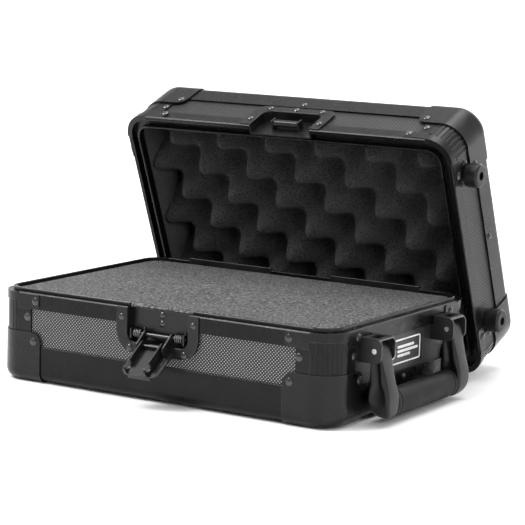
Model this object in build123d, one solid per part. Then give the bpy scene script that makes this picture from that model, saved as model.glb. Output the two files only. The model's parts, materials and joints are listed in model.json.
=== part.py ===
"""Rail-edged carry case with foam in both halves.

The base half stands on its underside.  The lid half has been lifted off its two slip
hinges and leans on the ground behind the base.  All lengths are millimetres, +Z is up,
the latch faces -Y and the carrying handle is on the +X side.  The origin is the middle
of the base's underside panel.

Both halves are built by the same functions in "half" coordinates: underside at z = 0,
mouth (rim) at z = half.height, mouth facing up.  The lid half is then turned over.
"""
from build123d import *
from dataclasses import dataclass
from math import cos, pi, radians, sin
import os

os.makedirs("parts", exist_ok=True)

# ---- driving dimensions of the shell ------------------------------------------------
WIDTH = 400.0              # over the rails, along X
DEPTH = 276.0              # over the rails, along Y
BASE_HEIGHT = 91.5         # underside to rim
LID_HEIGHT = 82.0          # rim to top
EDGE_RADIUS = 10.0         # rounding of the long edges
PANEL_INSET = 14.0         # bottom panel's edge, inside the rails' face
CORNER_RADIUS = 26.5       # vertical corners, in plan
RAIL_SKIN = 2.0            # how far the rails stand proud of the panels
PANEL = 6.0                # panel thickness
FLANGE_REACH = 40.0        # lower rail's flange under the bottom panel
TOP_RAIL = 9.5             # solid part of a rim rail, down from the rim
RIM_GAP = 0.4              # between the two rims when the case is shut
SHELF = 4.4                # outer shelf of the rim
TONGUE_IN = 5.0            # outer face of the tongue, from the rail's face
TONGUE_THICK = 3.0
TONGUE_HEIGHT = 3.0
GROOVE_IN = 4.4            # lid's groove, from the rail's face
GROOVE_WIDTH = 7.8
GROOVE_DEPTH = 7.5
LID_LIP = 2.0              # inner rim of the lid, inside the groove
FIT = 0.3                  # clearance round soft and loose pieces
BALL_SHEET = 1.5           # sheet of the ball corners
COLLAR_SHEET = 1.2         # sheet of the rim corners
POST_WALL = 3.0
BALL_REACH = 55.0          # ball corner's flange along each face
POST_REACH = 42.0
COLLAR_REACH = 53.5

# ---- latch ---------------------------------------------------------------------------
DISH_HALF = 48.5           # half width of the latch dish
DISH_BELOW = 45.5          # dish below the base's rim
LID_DISH_ABOVE = 44.4      # dish above the lid's rim
POCKET_HALF = 36.0         # half width of the dish's pocket
POCKET_BELOW = 34.5        # pocket's end, from the rim
POCKET_DEPTH = 9.5
DISH_SHEET = 1.5
PIVOT_BELOW = 26.0         # latch pivot below the rim
PIVOT_IN = 2.5             # latch pivot behind the rails' face
PIVOT_PIN_R = 2.0
HOLE_CLEAR = 0.06          # radial clearance of running fits
LEVER_REST = 126.0         # turn from latched to hanging open, degrees
LEVER_HALF = 22.0
LEVER_LENGTH = 48.0
PLATE_START = 15.0         # finger plate starts this far from the pivot
CHEEK_R = 4.5
HOOK_HALF = 12.5
HOOK_PIN_UP = 14.0         # hook's pin along the lever
HOOK_LENGTH = 36.0
ROLLER_R = 4.0
ROLLER_HALF = 15.0
ROLLER_UP = 43.0           # catch roller above the latch pivot when shut
ROLLER_IN = 1.5            # catch roller behind the latch pivot when shut
SHEET = 1.6                # sheet steel of the latch

# ---- hinges --------------------------------------------------------------------------
HINGE_IN = 1.0             # hinge axis in front of the rear face
HINGE_BELOW = 3.0          # hinge axis below the rim
HINGE_PIN_R = 1.5
KNUCKLE_R = 2.8
HINGE_START = 38.0         # hinge strip from the middle plane
HINGE_END = 145.0
BASE_KNUCKLES = ((0.0, 20.0), (43.0, 63.0), (87.0, 107.0))   # along the strip
LID_KNUCKLES = ((22.0, 41.0), (65.0, 85.0))
PIN_END = 4.5              # bare end of the hinge pin
HINGE_STRIP_UP = 6.0       # strip above the rim
LID_OPEN = 68.0            # lid's angle as it leans, degrees
LID_LIFT = 4.0             # how far the lid has been lifted clear of the hinges

# ---- handle --------------------------------------------------------------------------
HANDLE_MIDDLE = -2.0       # along Y
BRACKET_OUTER = 88.0
BRACKET_WIDTH = 28.0
BRACKET_PROUD = 24.0
BRACKET_HEIGHT = 24.0
BRACKET_BELOW = 8.5        # bracket's top below the rim
BRACKET_SHEET = 2.0
HANDLE_PIVOT_OUT = 16.5
HANDLE_PIVOT_BELOW = 20.5
HANDLE_PIN_R = 2.5
GRIP_DROP = 54.0           # grip's middle below the handle's pivot
GRIP_OUT = 3.0             # grip's middle outside the handle's pivot
GRIP_R = 14.0

# ---- small pieces --------------------------------------------------------------------
CORNER_RIVET_R = 3.9
SMALL_RIVET_R = 3.2
RIVET_HEIGHT = 1.8
FOOT_R = 12.5
FOOT_HEIGHT = 16.0
FOOT_HOLE_R = 4.5
FOOT_FROM_END = 52.0
FOOT_BOSS_R = 5.5
FOOT_PROUD = 1.6           # foot's back, clear of the ball corner's flange
FOOT_FROM_RIM = 29.5
LID_FOAM_BELOW = 40.0      # mean face of the lid's foam below its rim
BADGE_HALF = 43.0
BADGE_THICK = 1.5

HALF_W = WIDTH / 2
HALF_D = DEPTH / 2
WALL = RAIL_SKIN + PANEL
LID_WALL = GROOVE_IN + GROOVE_WIDTH + LID_LIP


@dataclass
class Half:
    """Heights of one half, measured from its outer face towards its rim."""
    name: str
    height: float          # to the rim
    skirt: float           # top of the lower rail
    ball_top: float
    rim_rail: float        # bottom of the rim rail's skirt
    ball_rivet: float
    post_rivet: float
    collar_rivet: float


BASE = Half("base", BASE_HEIGHT, 36.0, 50.5, BASE_HEIGHT - 17.0, 41.5, BASE_HEIGHT - 25.5, BASE_HEIGHT - 8.2)
LID = Half("lid", LID_HEIGHT, 32.5, 45.5, LID_HEIGHT - 15.5, 36.5, LID_HEIGHT - 28.0, LID_HEIGHT - 9.4)


def bar(x0, x1, y0, y1, z0, z1):
    """Block between two corners."""
    return Pos((x0 + x1) / 2, (y0 + y1) / 2, (z0 + z1) / 2) * Box(x1 - x0, y1 - y0, z1 - z0)


def rod(radius, x0, x1, y, z):
    """Cylinder along X."""
    return Pos((x0 + x1) / 2, y, z) * Rot(0, 90, 0) * Cylinder(radius, x1 - x0)


def rod_y(radius, y0, y1, x, z):
    """Cylinder along Y."""
    return Pos(x, (y0 + y1) / 2, z) * Rot(90, 0, 0) * Cylinder(radius, y1 - y0)


def along_x(outline, x0, x1):
    """Closed outline in the YZ plane, carried from x0 to x1."""
    face = make_face(outline)
    return Pos(x0, 0, 0) * extrude(Plane.YZ * face, amount=x1 - x0)


def polygon(points):
    return Polyline(*points, close=True)


def upright(x0, x1, y0, y1, z0, z1, radius):
    """Block with rounded vertical edges."""
    block = bar(x0, x1, y0, y1, z0, z1)
    return fillet(block.edges().filter_by(Axis.Z), radius)


# ---- shell ---------------------------------------------------------------------------
def lower_rail(half, face, half_length):
    """Angle rail along X on the front: rounded outside, two slots for the panels."""
    r = EDGE_RADIUS
    s = RAIL_SKIN
    y = -face
    outer = Line((y, half.skirt), (y, r))
    arc = ThreePointArc((y, r), (y + r - r * cos(pi / 4), r - r * sin(pi / 4)), (y + r, 0))
    inner = Polyline((y + r, 0), (y + FLANGE_REACH, 0), (y + FLANGE_REACH, s), (y + r, s), (y + r, WALL),
                     (y + WALL, WALL), (y + WALL, r), (y + s, r), (y + s, half.skirt), (y, half.skirt))
    return along_x(Curve() + [outer, arc, inner], -half_length, half_length)


def rim_profile(half, face):
    """Section of a rim rail: skirt, shelf and tongue on the base, shelf and groove on the lid."""
    y = -face
    top = half.height
    low = top - TOP_RAIL
    if half.name == "base":
        inside = y + TONGUE_IN + TONGUE_THICK
        crest = top + TONGUE_HEIGHT
        points = [(y, half.rim_rail), (y, top - 1.5), (y + 0.8, top - 0.5), (y + SHELF, top),
                  (y + SHELF, top - 1.5), (y + TONGUE_IN, top - 1.5), (y + TONGUE_IN, crest - 0.6),
                  (y + TONGUE_IN + 0.6, crest), (inside - 0.6, crest), (inside, crest - 0.6), (inside, low),
                  (y + RAIL_SKIN, low), (y + RAIL_SKIN, half.rim_rail)]
        return polygon(points)
    lip = y + GROOVE_IN + GROOVE_WIDTH
    mouth = top - RIM_GAP
    points = [(y, half.rim_rail), (y, mouth - 1.0), (y + 0.8, mouth), (y + GROOVE_IN, mouth),
              (y + GROOVE_IN, top - GROOVE_DEPTH), (lip, top - GROOVE_DEPTH), (lip, mouth - 0.2),
              (lip + 0.5, mouth), (y + LID_WALL - 0.5, mouth), (y + LID_WALL, mouth - 0.5),
              (y + LID_WALL, low), (y + RAIL_SKIN, low), (y + RAIL_SKIN, half.rim_rail)]
    return polygon(points)




def quarter_turn(shape, k):
    return Rot(0, 0, 90 * k) * shape


def shell_rails(half):
    """Lower rails and rim rails of one half, as lists: front, right, back, left."""
    spans = [(HALF_D, HALF_W), (HALF_W, HALF_D)] * 2
    lower = []
    rim = []
    for k, (face, other) in enumerate(spans):
        length = other - CORNER_RADIUS
        lower.append(quarter_turn(lower_rail(half, face, length), k))
        rim.append(quarter_turn(along_x(rim_profile(half, face), -length, length), k))
    inner = FLANGE_REACH + 0.1
    for k in (1, 3):
        for sign in (-1, 1):
            y0, y1 = sorted((sign * (HALF_D - inner), sign * HALF_D))
            end = HALF_W - CORNER_RADIUS + 0.1
            clear = bar(-end, end, y0, y1, -1, RAIL_SKIN + 0.05)
            lower[k] -= clear
    return lower, rim


def shell_panels(half):
    """Bottom panel and the four side panels: front, right, back, left."""
    w = HALF_W - PANEL_INSET
    d = HALF_D - PANEL_INSET
    bottom = bar(-w, w, -d, d, RAIL_SKIN, WALL)
    reach = FLANGE_REACH + FIT
    bottom += bar(-HALF_W + reach, HALF_W - reach, -HALF_D + reach, HALF_D - reach, 0, RAIL_SKIN)
    sides = []
    spans = [(HALF_D, HALF_W), (HALF_W, HALF_D)] * 2
    for k, (face, other) in enumerate(spans):
        length = other - CORNER_RADIUS
        panel = bar(-length, length, -face + RAIL_SKIN, -face + WALL, EDGE_RADIUS, half.height - TOP_RAIL)
        sides.append(quarter_turn(panel, k))
    return bottom, sides


def corner_places():
    """Places of a piece drawn with its outer corner at the origin, front right first."""
    return [Pos(HALF_W, -HALF_D), Pos(HALF_W, HALF_D) * Rot(0, 0, 90),
            Pos(-HALF_W, HALF_D) * Rot(0, 0, 180), Pos(-HALF_W, -HALF_D) * Rot(0, 0, 270)]


DIAGONAL = Plane(origin=(0, 0, 0), x_dir=(0, 0, 1), z_dir=(1, 1, 0))


def other_face(piece):
    """Copies what is drawn on a corner's front face to its other face."""
    return mirror(piece, about=DIAGONAL)


CORNER_NAMES = ("front_right", "back_right", "back_left", "front_left")


def edge_block(proud, z1):
    """Corner of the case's outer form, offset outwards by proud."""
    size = 90.0
    block = bar(-size, proud, -proud, size, -proud, z1)
    upright_edge = block.edges().filter_by(Axis.Z).sort_by(Axis.X)[-2:].sort_by(Axis.Y)[0]
    block = fillet(upright_edge, CORNER_RADIUS + proud)
    low = block.faces().sort_by(Axis.Z)[0]
    outer = [e for e in low.edges() if e.center().X > -size + 1 and e.center().Y < size - 1]
    return fillet(outer, EDGE_RADIUS + proud)


def ball_corner(half):
    """Pressed sheet corner over the ends of three rails."""
    top = half.ball_top
    shell = edge_block(BALL_SHEET, top) - edge_block(0, top + 1)
    far = -BALL_REACH
    rounding = 11.0
    window = make_face(Polyline((5, -5), (5, top), (far + rounding, top)) +
                       ThreePointArc((far + rounding, top),
                                     (far + rounding * (1 - cos(pi / 4)), top - rounding * (1 - sin(pi / 4))),
                                     (far, top - rounding)) +
                       Polyline((far, top - rounding), (far, -5), (5, -5)))
    front = extrude(Plane.XZ * window, amount=100, both=True)
    side = other_face(front)
    under = Pos(0, 0, -5) * extrude(Circle(BALL_REACH + 1), amount=top + 10)
    return shell & front & side & under


def corner_arc(outer, inner, z0, z1):
    """Quarter ring about the corner's centre, in corner coordinates."""
    centre = Pos(-CORNER_RADIUS, CORNER_RADIUS)
    tube = extrude(Circle(outer), amount=z1 - z0) - extrude(Circle(inner), amount=z1 - z0)
    ring = centre * (Pos(0, 0, z0) * tube)
    quarter = bar(-CORNER_RADIUS, CORNER_RADIUS, -CORNER_RADIUS, CORNER_RADIUS, z0, z1)
    return ring & quarter


def corner_post(half):
    """Fluted upright between the ball corner and the rim corner, with a tab on each panel."""
    z0 = half.ball_top + 0.2
    z1 = half.height - TOP_RAIL - 0.2
    post = corner_arc(CORNER_RADIUS, CORNER_RADIUS - POST_WALL, z0, z1)
    tab = bar(-POST_REACH, -CORNER_RADIUS, 0.3, RAIL_SKIN, z0, half.rim_rail - 0.2)
    post += tab + other_face(tab)
    flutes = 8
    for k in range(flutes):
        angle = radians(-90 + 90 * (k + 0.5) / flutes)
        r = CORNER_RADIUS + 0.7
        place = Pos(-CORNER_RADIUS + r * cos(angle), CORNER_RADIUS + r * sin(angle), (z0 + z1) / 2)
        post -= place * Cylinder(1.4, z1 - z0 + 1)
    return post


def rim_corner(half):
    """Corner of the rim: collar over the rail's end, shelf, and tongue or inner rim."""
    top = half.height
    r = CORNER_RADIUS
    low = top - TOP_RAIL
    collar = corner_arc(r + COLLAR_SHEET, r - SHELF, low, top - (0.5 if half.name == "base" else RIM_GAP))
    tab_low = half.rim_rail + 1.5
    tab = bar(-COLLAR_REACH, -r, -COLLAR_SHEET, 0, tab_low, top - 1.5)
    tab = fillet(tab.edges().filter_by(Axis.Y).sort_by(Axis.X)[:2], 3.5)
    collar += tab + other_face(tab)
    if half.name == "base":
        inner = r - TONGUE_IN - TONGUE_THICK
        collar += corner_arc(r - SHELF + 0.01, inner, low, top - 1.5)
        collar += corner_arc(r - TONGUE_IN, inner, low, top + TONGUE_HEIGHT)
        return collar
    inner = r - LID_WALL
    collar += corner_arc(r - GROOVE_IN + 0.01, inner, low, top - GROOVE_DEPTH)
    collar += corner_arc(inner + LID_LIP, inner, low, top - RIM_GAP)
    return collar


# ---- rivets --------------------------------------------------------------------------
def rivet(radius, height=RIVET_HEIGHT):
    """Domed rivet head, its underside at z = 0 and its dome towards +Z."""
    rise = height - 0.5
    ball = (radius ** 2 + rise ** 2) / (2 * rise)
    return Pos(0, 0, height / 2) * Cylinder(radius, height) & Pos(0, 0, height - ball) * Sphere(ball)


def side_point(k, along, face_out, z):
    """Point on side k: along runs to the right as that side is looked at from outside."""
    face = (HALF_D, HALF_W)[k % 2]
    return Rot(0, 0, 90 * k) * Pos(along, -face - face_out, z)


def rivets_on(half):
    """Every rivet of one half's shell, each a separate solid."""
    heads = []
    for k in range(4):
        other = (HALF_W, HALF_D)[k % 2]
        for sign in (-1, 1):
            collar = (49.0, 43.0)[k % 2]
            for from_corner, out, z in ((47.0, BALL_SHEET, half.ball_rivet), (38.0, -0.3, half.post_rivet),
                                        (collar, COLLAR_SHEET, half.collar_rivet)):
                place = side_point(k, sign * (other - from_corner), out, z)
                heads.append(place * Rot(90, 0, 0) * rivet(CORNER_RIVET_R))
    return heads


# ---- latch ---------------------------------------------------------------------------
def dish(half, reach, flange_rounding):
    """Pressed latch dish on the front: flange, pocket open at the rim, drawn on the base side."""
    top = half.height - 1.0
    y = -HALF_D
    z_low = half.height - reach
    z_pocket = half.height - POCKET_BELOW
    flange = bar(-DISH_HALF, DISH_HALF, y - DISH_SHEET, y, z_low, top)
    flange += bar(-DISH_HALF, DISH_HALF, y - 0.01, y + RAIL_SKIN - 0.05, z_low, half.rim_rail - 0.1)
    corners = flange.edges().filter_by(Axis.Y).filter_by(lambda e: e.center().Z < z_low + 0.1)
    flange = fillet(corners, flange_rounding)
    s = DISH_SHEET
    back = y + POCKET_DEPTH
    block = bar(-POCKET_HALF - s, POCKET_HALF + s, y - s, back + s, z_pocket - s, top)
    hollow = bar(-POCKET_HALF, POCKET_HALF, y - s - 1, back, z_pocket, top + 9)
    pocket_round = 9.0
    low_edges = block.edges().filter_by(Axis.Y).filter_by(lambda e: e.center().Z < z_pocket)
    block = fillet(low_edges, pocket_round + s)
    low_edges = hollow.edges().filter_by(Axis.Y).filter_by(lambda e: e.center().Z < z_pocket + 0.1)
    hollow = fillet(low_edges, pocket_round)
    shell = flange + block - hollow
    mouth = [e for e in shell.edges() if abs(e.center().Y - (y - s)) < 0.01 and abs(e.center().X) < POCKET_HALF + 0.2
             and e.center().Z > z_pocket - 0.1 and e.center().Z < top - 1]
    return fillet(mouth, 1.2)


def pocket_room(half):
    """Room that the dish's pocket needs in the rail, the panel and the foam."""
    s = DISH_SHEET + 0.1
    return bar(-POCKET_HALF - s, POCKET_HALF + s, -HALF_D - 5, -HALF_D + POCKET_DEPTH + s,
               half.height - POCKET_BELOW - s, half.height + TONGUE_HEIGHT + 1)


PIVOT_Y = -HALF_D + PIVOT_IN
PIVOT_Z = BASE_HEIGHT - PIVOT_BELOW


def latch_bracket():
    """Riveted bracket in the pocket that carries the pivot pin between two ears."""
    back = -HALF_D + POCKET_DEPTH
    plate = bar(-33, 33, back - SHEET, back, BASE_HEIGHT - 31.5, BASE_HEIGHT - 1.5)
    for sign in (-1, 1):
        x = sign * 31.4
        ear = bar(x - SHEET / 2, x + SHEET / 2, PIVOT_Y - 4, back - SHEET + 0.01, PIVOT_Z - 5, PIVOT_Z + 5)
        plate += ear
    return plate - rod(PIVOT_PIN_R, -40, 40, PIVOT_Y, PIVOT_Z)


def pivot_pin():
    """Pivot pin pressed into the bracket's ears, with a head at each end."""
    return rod(PIVOT_PIN_R, -33.5, 33.5, PIVOT_Y, PIVOT_Z)


def lever_point(along, inward):
    """Point of the latch in its shut position: along the lever and inwards from the pivot."""
    return PIVOT_Y + inward, PIVOT_Z + along


def lever_block(x0, x1, along0, along1, in0, in1):
    y0, z0 = lever_point(along0, in0)
    y1, z1 = lever_point(along1, in1)
    return bar(x0, x1, y0, y1, z0, z1)


LEVER_OUT = -8.0           # outer face of the lever plate, inwards of the pivot


def latch_lever():
    """Wide finger plate with a keyhole, a slot and a turned lip, and two cheeks on the pivot."""
    out = LEVER_OUT
    plate = lever_block(-LEVER_HALF, LEVER_HALF, PLATE_START, LEVER_LENGTH, out, out + SHEET)
    ends = plate.edges().filter_by(Axis.Y).filter_by(lambda e: e.center().Z > PIVOT_Z + LEVER_LENGTH - 1)
    plate = fillet(ends, 9)
    lip_half = LEVER_HALF - 9
    lip = lever_block(-lip_half, lip_half, LEVER_LENGTH - SHEET, LEVER_LENGTH, out - 4, out + 0.01)
    plate += lip
    y, z = lever_point(40, 0)
    plate -= rod_y(4.0, PIVOT_Y - 20, PIVOT_Y, 0, z)
    y, z = lever_point(27, 0)
    window = rod_y(8.0, PIVOT_Y - 20, PIVOT_Y, 0, z) & bar(-10, 10, PIVOT_Y - 25, PIVOT_Y, z - 10, z)
    plate -= window
    plate -= lever_block(14.5, 17.5, 22, 37, out - 1, out + SHEET + 1)
    cheek_x = HOOK_HALF + 2.6
    for sign in (-1, 1):
        x0, x1 = sorted((sign * cheek_x, sign * (cheek_x + SHEET)))
        outline = [(CHEEK_R, 0), (3.6, 17.5), (1.5, 20), (out + SHEET - 0.01, 22), (out + SHEET - 0.01, PLATE_START),
                   (-CHEEK_R, 10), (-CHEEK_R, 0)]
        cheek = along_x(polygon([lever_point(up, inward) for inward, up in outline]), x0, x1)
        plate += cheek + rod(CHEEK_R, x0, x1, PIVOT_Y, PIVOT_Z)
    plate -= rod(PIVOT_PIN_R + HOLE_CLEAR, -40, 40, PIVOT_Y, PIVOT_Z)
    y, z = lever_point(HOOK_PIN_UP, -0.8)
    return plate - rod(1.5, -40, 40, y, z)


def hook_pin():
    """Small pin across the lever's cheeks that the hook turns on."""
    y, z = lever_point(HOOK_PIN_UP, -0.8)
    end = HOOK_HALF + 2.6 + SHEET
    return rod(1.5, -end, end, y, z)


def latch_hook():
    """Channel whose two sides are notched to hold the catch roller."""
    a0 = HOOK_PIN_UP - 4
    a1 = HOOK_PIN_UP + HOOK_LENGTH
    web = lever_block(-HOOK_HALF, HOOK_HALF, a0 + 5, a1, -5.4, -5.4 + SHEET)
    for sign in (-1, 1):
        x0, x1 = sorted((sign * HOOK_HALF, sign * (HOOK_HALF - SHEET)))
        side = lever_block(x0, x1, a0, a1, -5.4, 4.0)
        corners = side.edges().filter_by(Axis.X).filter_by(lambda e: e.center().Y > PIVOT_Y + 3)
        web += fillet(corners, 3.0)
    y, z = lever_point(ROLLER_UP, ROLLER_IN)
    notch = ROLLER_R + 0.7
    web -= rod(notch, -20, 20, y, z) + bar(-20, 20, y, y + 9, z - notch, z + notch)
    y, z = lever_point(HOOK_PIN_UP, -0.8)
    return web - rod(1.5 + HOLE_CLEAR, -40, 40, y, z)


def open_latch(piece):
    """Turns a piece drawn in the shut position down to where the open latch hangs."""
    return Pos(0, PIVOT_Y, PIVOT_Z) * Rot(LEVER_REST, 0, 0) * Pos(0, -PIVOT_Y, -PIVOT_Z) * piece


def spring_sleeve(sign):
    """Torsion spring on the pivot pin, as the tube that its coils fill."""
    x0, x1 = sorted((sign * 19.5, sign * 29.5))
    return rod(4.4, x0, x1, PIVOT_Y, PIVOT_Z) - rod(PIVOT_PIN_R + 0.3, x0 - 1, x1 + 1, PIVOT_Y, PIVOT_Z)


# ---- hinges --------------------------------------------------------------------------
HINGE_Y = HALF_D - HINGE_IN
HINGE_Z = BASE_HEIGHT - HINGE_BELOW


def hinge_notch(extra):
    """Room for one hinge in the base's rear rim rail, right side."""
    x0 = HINGE_START - extra
    x1 = HINGE_END + extra
    outer = bar(x0 - PIN_END - 0.5, x1, HALF_D - TONGUE_IN, HALF_D + 3, BASE_HEIGHT - 6.5, BASE_HEIGHT + 9)
    deep = bar(x0, x1, HALF_D - TONGUE_IN - TONGUE_THICK - 0.05, HALF_D - TONGUE_IN + 0.01,
               BASE_HEIGHT - TOP_RAIL - 2, BASE_HEIGHT + 9)
    return outer + deep


def hinge_strip():
    """Base's hinge leaf, right side: upright strip and the knuckles joined to it."""
    y1 = HALF_D - TONGUE_IN
    y0 = y1 - TONGUE_THICK + 0.2
    strip = bar(HINGE_START, HINGE_END, y0, y1, BASE_HEIGHT - TOP_RAIL, BASE_HEIGHT + HINGE_STRIP_UP)
    crest = strip.edges().filter_by(Axis.X).filter_by(lambda e: e.center().Z > BASE_HEIGHT)
    strip = fillet(crest, 0.8)
    for a, b in BASE_KNUCKLES:
        x0 = HINGE_START + a
        x1 = HINGE_START + b
        strip += rod(KNUCKLE_R, x0, x1, HINGE_Y, HINGE_Z)
        strip += bar(x0, x1, y1 - 0.01, HINGE_Y, HINGE_Z - KNUCKLE_R, HINGE_Z + KNUCKLE_R)
    return strip - rod(HINGE_PIN_R + HOLE_CLEAR, HINGE_START - 5, HINGE_END + 5, HINGE_Y, HINGE_Z)


def hinge_pin():
    """Hinge pin, right side, with its bare end towards the middle of the case."""
    return rod(HINGE_PIN_R, HINGE_START - PIN_END, HINGE_END - 0.5, HINGE_Y, HINGE_Z)


def hinge_hooks():
    """Lid's hooks, right side, in the shut position: open tubes joined to the lid's rim."""
    hooks = []
    for a, b in LID_KNUCKLES:
        x0 = HINGE_START + a
        x1 = HINGE_START + b
        hook = rod(KNUCKLE_R, x0, x1, HINGE_Y, HINGE_Z)
        hook += bar(x0, x1, HINGE_Y - 0.6, HALF_D, HINGE_Z + 1.8, BASE_HEIGHT + RIM_GAP)
        hook += bar(x0, x1, HALF_D - 1.9, HALF_D, BASE_HEIGHT + RIM_GAP - 0.01, BASE_HEIGHT + RIM_GAP + 6)
        hook -= rod(HINGE_PIN_R + HOLE_CLEAR, x0 - 1, x1 + 1, HINGE_Y, HINGE_Z)
        gap = HINGE_PIN_R + HOLE_CLEAR
        hook -= bar(x0 - 1, x1 + 1, HINGE_Y - 6, HINGE_Y, HINGE_Z - gap - 0.3, HINGE_Z + gap)
        hooks.append(hook)
    return hooks


# ---- handle --------------------------------------------------------------------------
HANDLE_X = HALF_W + HANDLE_PIVOT_OUT
HANDLE_Z = BASE_HEIGHT - HANDLE_PIVOT_BELOW


def handle_bracket(sign):
    """Bracket with an open-topped hood and two cheeks that hold the handle's pivot."""
    inner = BRACKET_OUTER - BRACKET_WIDTH
    y0, y1 = sorted((HANDLE_MIDDLE + sign * BRACKET_OUTER, HANDLE_MIDDLE + sign * inner))
    top = BASE_HEIGHT - BRACKET_BELOW
    low = top - BRACKET_HEIGHT
    x0 = HALF_W - RAIL_SKIN + 0.05
    x1 = HALF_W + BRACKET_PROUD
    s = BRACKET_SHEET
    seat = HALF_W + COLLAR_SHEET + 0.05
    body = bar(seat, x1, y0, y1, low, top)
    nose = body.edges().filter_by(Axis.Y).filter_by(lambda e: e.center().X > x1 - 1)
    body = fillet(nose, 7.0)
    body -= bar(seat + s, x1 + 5, y0 + s, y1 - s, low - 1, top - s)
    body -= bar(HALF_W + 7, HALF_W + 17, y0 + 5.5, y1 - 5.5, top - s - 1, top + 1)
    body += bar(x0, seat + 0.01, y0, y1, low, BASE.rim_rail - 0.2)
    return body - rod_y(HANDLE_PIN_R, y0 - 1, y1 + 1, HANDLE_X, HANDLE_Z)


def handle_pin(sign):
    y0, y1 = sorted((HANDLE_MIDDLE + sign * (BRACKET_OUTER + 0.8),
                     HANDLE_MIDDLE + sign * (BRACKET_OUTER - BRACKET_WIDTH - 0.8)))
    return rod_y(HANDLE_PIN_R, y0, y1, HANDLE_X, HANDLE_Z)


def handle_arm(sign):
    """Broad flat arm that tapers from the pivot into the end of the grip."""
    gap = BRACKET_SHEET + 0.5
    outer = BRACKET_OUTER - gap
    inner = BRACKET_OUTER - BRACKET_WIDTH + gap
    y0, y1 = sorted((HANDLE_MIDDLE + sign * outer, HANDLE_MIDDLE + sign * inner))
    x = HANDLE_X
    z = HANDLE_Z
    low = z - GRIP_DROP - GRIP_R
    side = make_face(Polyline((x - 5.0, z), (x - 8.0, low + 16)) +
                     ThreePointArc((x - 8.0, low + 16), (x - 4.0, low + 4), (x + 6.0, low)) +
                     ThreePointArc((x + 6.0, low), (x + 13.0, low + 8), (x + 15.0, low + 22)) +
                     Polyline((x + 15.0, low + 22), (x + 5.5, z)) +
                     ThreePointArc((x + 5.5, z), (x, z + 6.0), (x - 5.0, z)))
    return Pos(0, y1, 0) * extrude(Plane.XZ * side, amount=y1 - y0)


HANDLE_LOW = HANDLE_Z - GRIP_DROP - GRIP_R


def handle_frame():
    """Both arms and the core bar through the grip, in one moulding."""
    gap = BRACKET_SHEET + 0.5
    reach = BRACKET_OUTER - gap
    x = HANDLE_X + GRIP_OUT
    z = HANDLE_Z - GRIP_DROP
    frame = handle_arm(-1) + handle_arm(1) + rod_y(7.0, -reach + 10, reach - 10, x, z)
    outline = bar(x - 60, x + 60, HANDLE_MIDDLE - reach, HANDLE_MIDDLE + reach,
                  HANDLE_LOW - 0.01, HANDLE_Z + 20)
    low = outline.edges().filter_by(Axis.X).filter_by(lambda e: e.center().Z < HANDLE_LOW + 1)
    frame = frame & fillet(low, 20.0)
    return frame - rod_y(HANDLE_PIN_R + HOLE_CLEAR, -200, 200, HANDLE_X, HANDLE_Z)


def handle_grip():
    """Soft oval sleeve on the handle's core bar."""
    inner = BRACKET_OUTER - BRACKET_WIDTH + BRACKET_SHEET + 0.5
    x = HANDLE_X + GRIP_OUT
    z = HANDLE_Z - GRIP_DROP
    oval = Plane.XZ * (Pos(x, z) * Ellipse(11.5, GRIP_R))
    sleeve = Pos(0, HANDLE_MIDDLE + inner, 0) * extrude(oval, amount=2 * inner)
    return sleeve - rod_y(7.0, -100, 100, x, z)


# ---- small pieces --------------------------------------------------------------------
def badge_plate():
    """Plain name plate between the handle's brackets, with a raised border."""
    x0 = HALF_W - RAIL_SKIN
    low = BASE.skirt + 2.5
    high = BASE.rim_rail - 0.6
    plate = bar(x0, x0 + BADGE_THICK, HANDLE_MIDDLE - BADGE_HALF, HANDLE_MIDDLE + BADGE_HALF, low, high)
    sunk = BADGE_HALF - 4
    plate -= bar(x0 + BADGE_THICK - 0.5, x0 + 5, HANDLE_MIDDLE - sunk, HANDLE_MIDDLE + sunk, low + 4, high - 4)
    return plate


def foot():
    """Round rubber foot with a boss to the panel and a recessed screw hole; z = 0 is the rails' face."""
    body = Pos(0, 0, (FOOT_HEIGHT + FOOT_PROUD) / 2) * Cylinder(FOOT_R, FOOT_HEIGHT - FOOT_PROUD)
    body = fillet(body.edges().sort_by(Axis.Z)[-1], 3.0)
    boss = FOOT_PROUD + RAIL_SKIN
    body += Pos(0, 0, FOOT_PROUD - boss / 2) * Cylinder(FOOT_BOSS_R, boss)
    return body - Pos(0, 0, FOOT_HEIGHT - 1) * Cylinder(FOOT_HOLE_R, 18)


def feet_on(half, side):
    """Two rubber feet on one short side of a half; side is 1 for right, 3 for left."""
    feet = []
    for sign in (-1, 1):
        place = side_point(side, sign * (HALF_D - FOOT_FROM_END), 0, half.height - FOOT_FROM_RIM)
        feet.append(place * Rot(90, 0, 0) * foot())
    return feet


def base_foam():
    """Foam block that fills the base, with a notch behind the latch pocket."""
    w = HALF_W - WALL - FIT
    d = HALF_D - WALL - FIT
    block = upright(-w, w, -d, d, WALL + FIT, BASE_HEIGHT - FIT, CORNER_RADIUS - WALL - FIT)
    s = DISH_SHEET + 0.5
    return block - bar(-POCKET_HALF - s, POCKET_HALF + s, -HALF_D, -HALF_D + POCKET_DEPTH + s,
                       BASE_HEIGHT - POCKET_BELOW - s, BASE_HEIGHT + 5)


def lid_foam():
    """Foam pad under the lid's top, drawn as a plain block at its mean thickness."""
    w = HALF_W - WALL - FIT
    d = HALF_D - WALL - FIT
    return upright(-w, w, -d, d, WALL + FIT, LID_HEIGHT - LID_FOAM_BELOW, CORNER_RADIUS - WALL - FIT)


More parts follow.
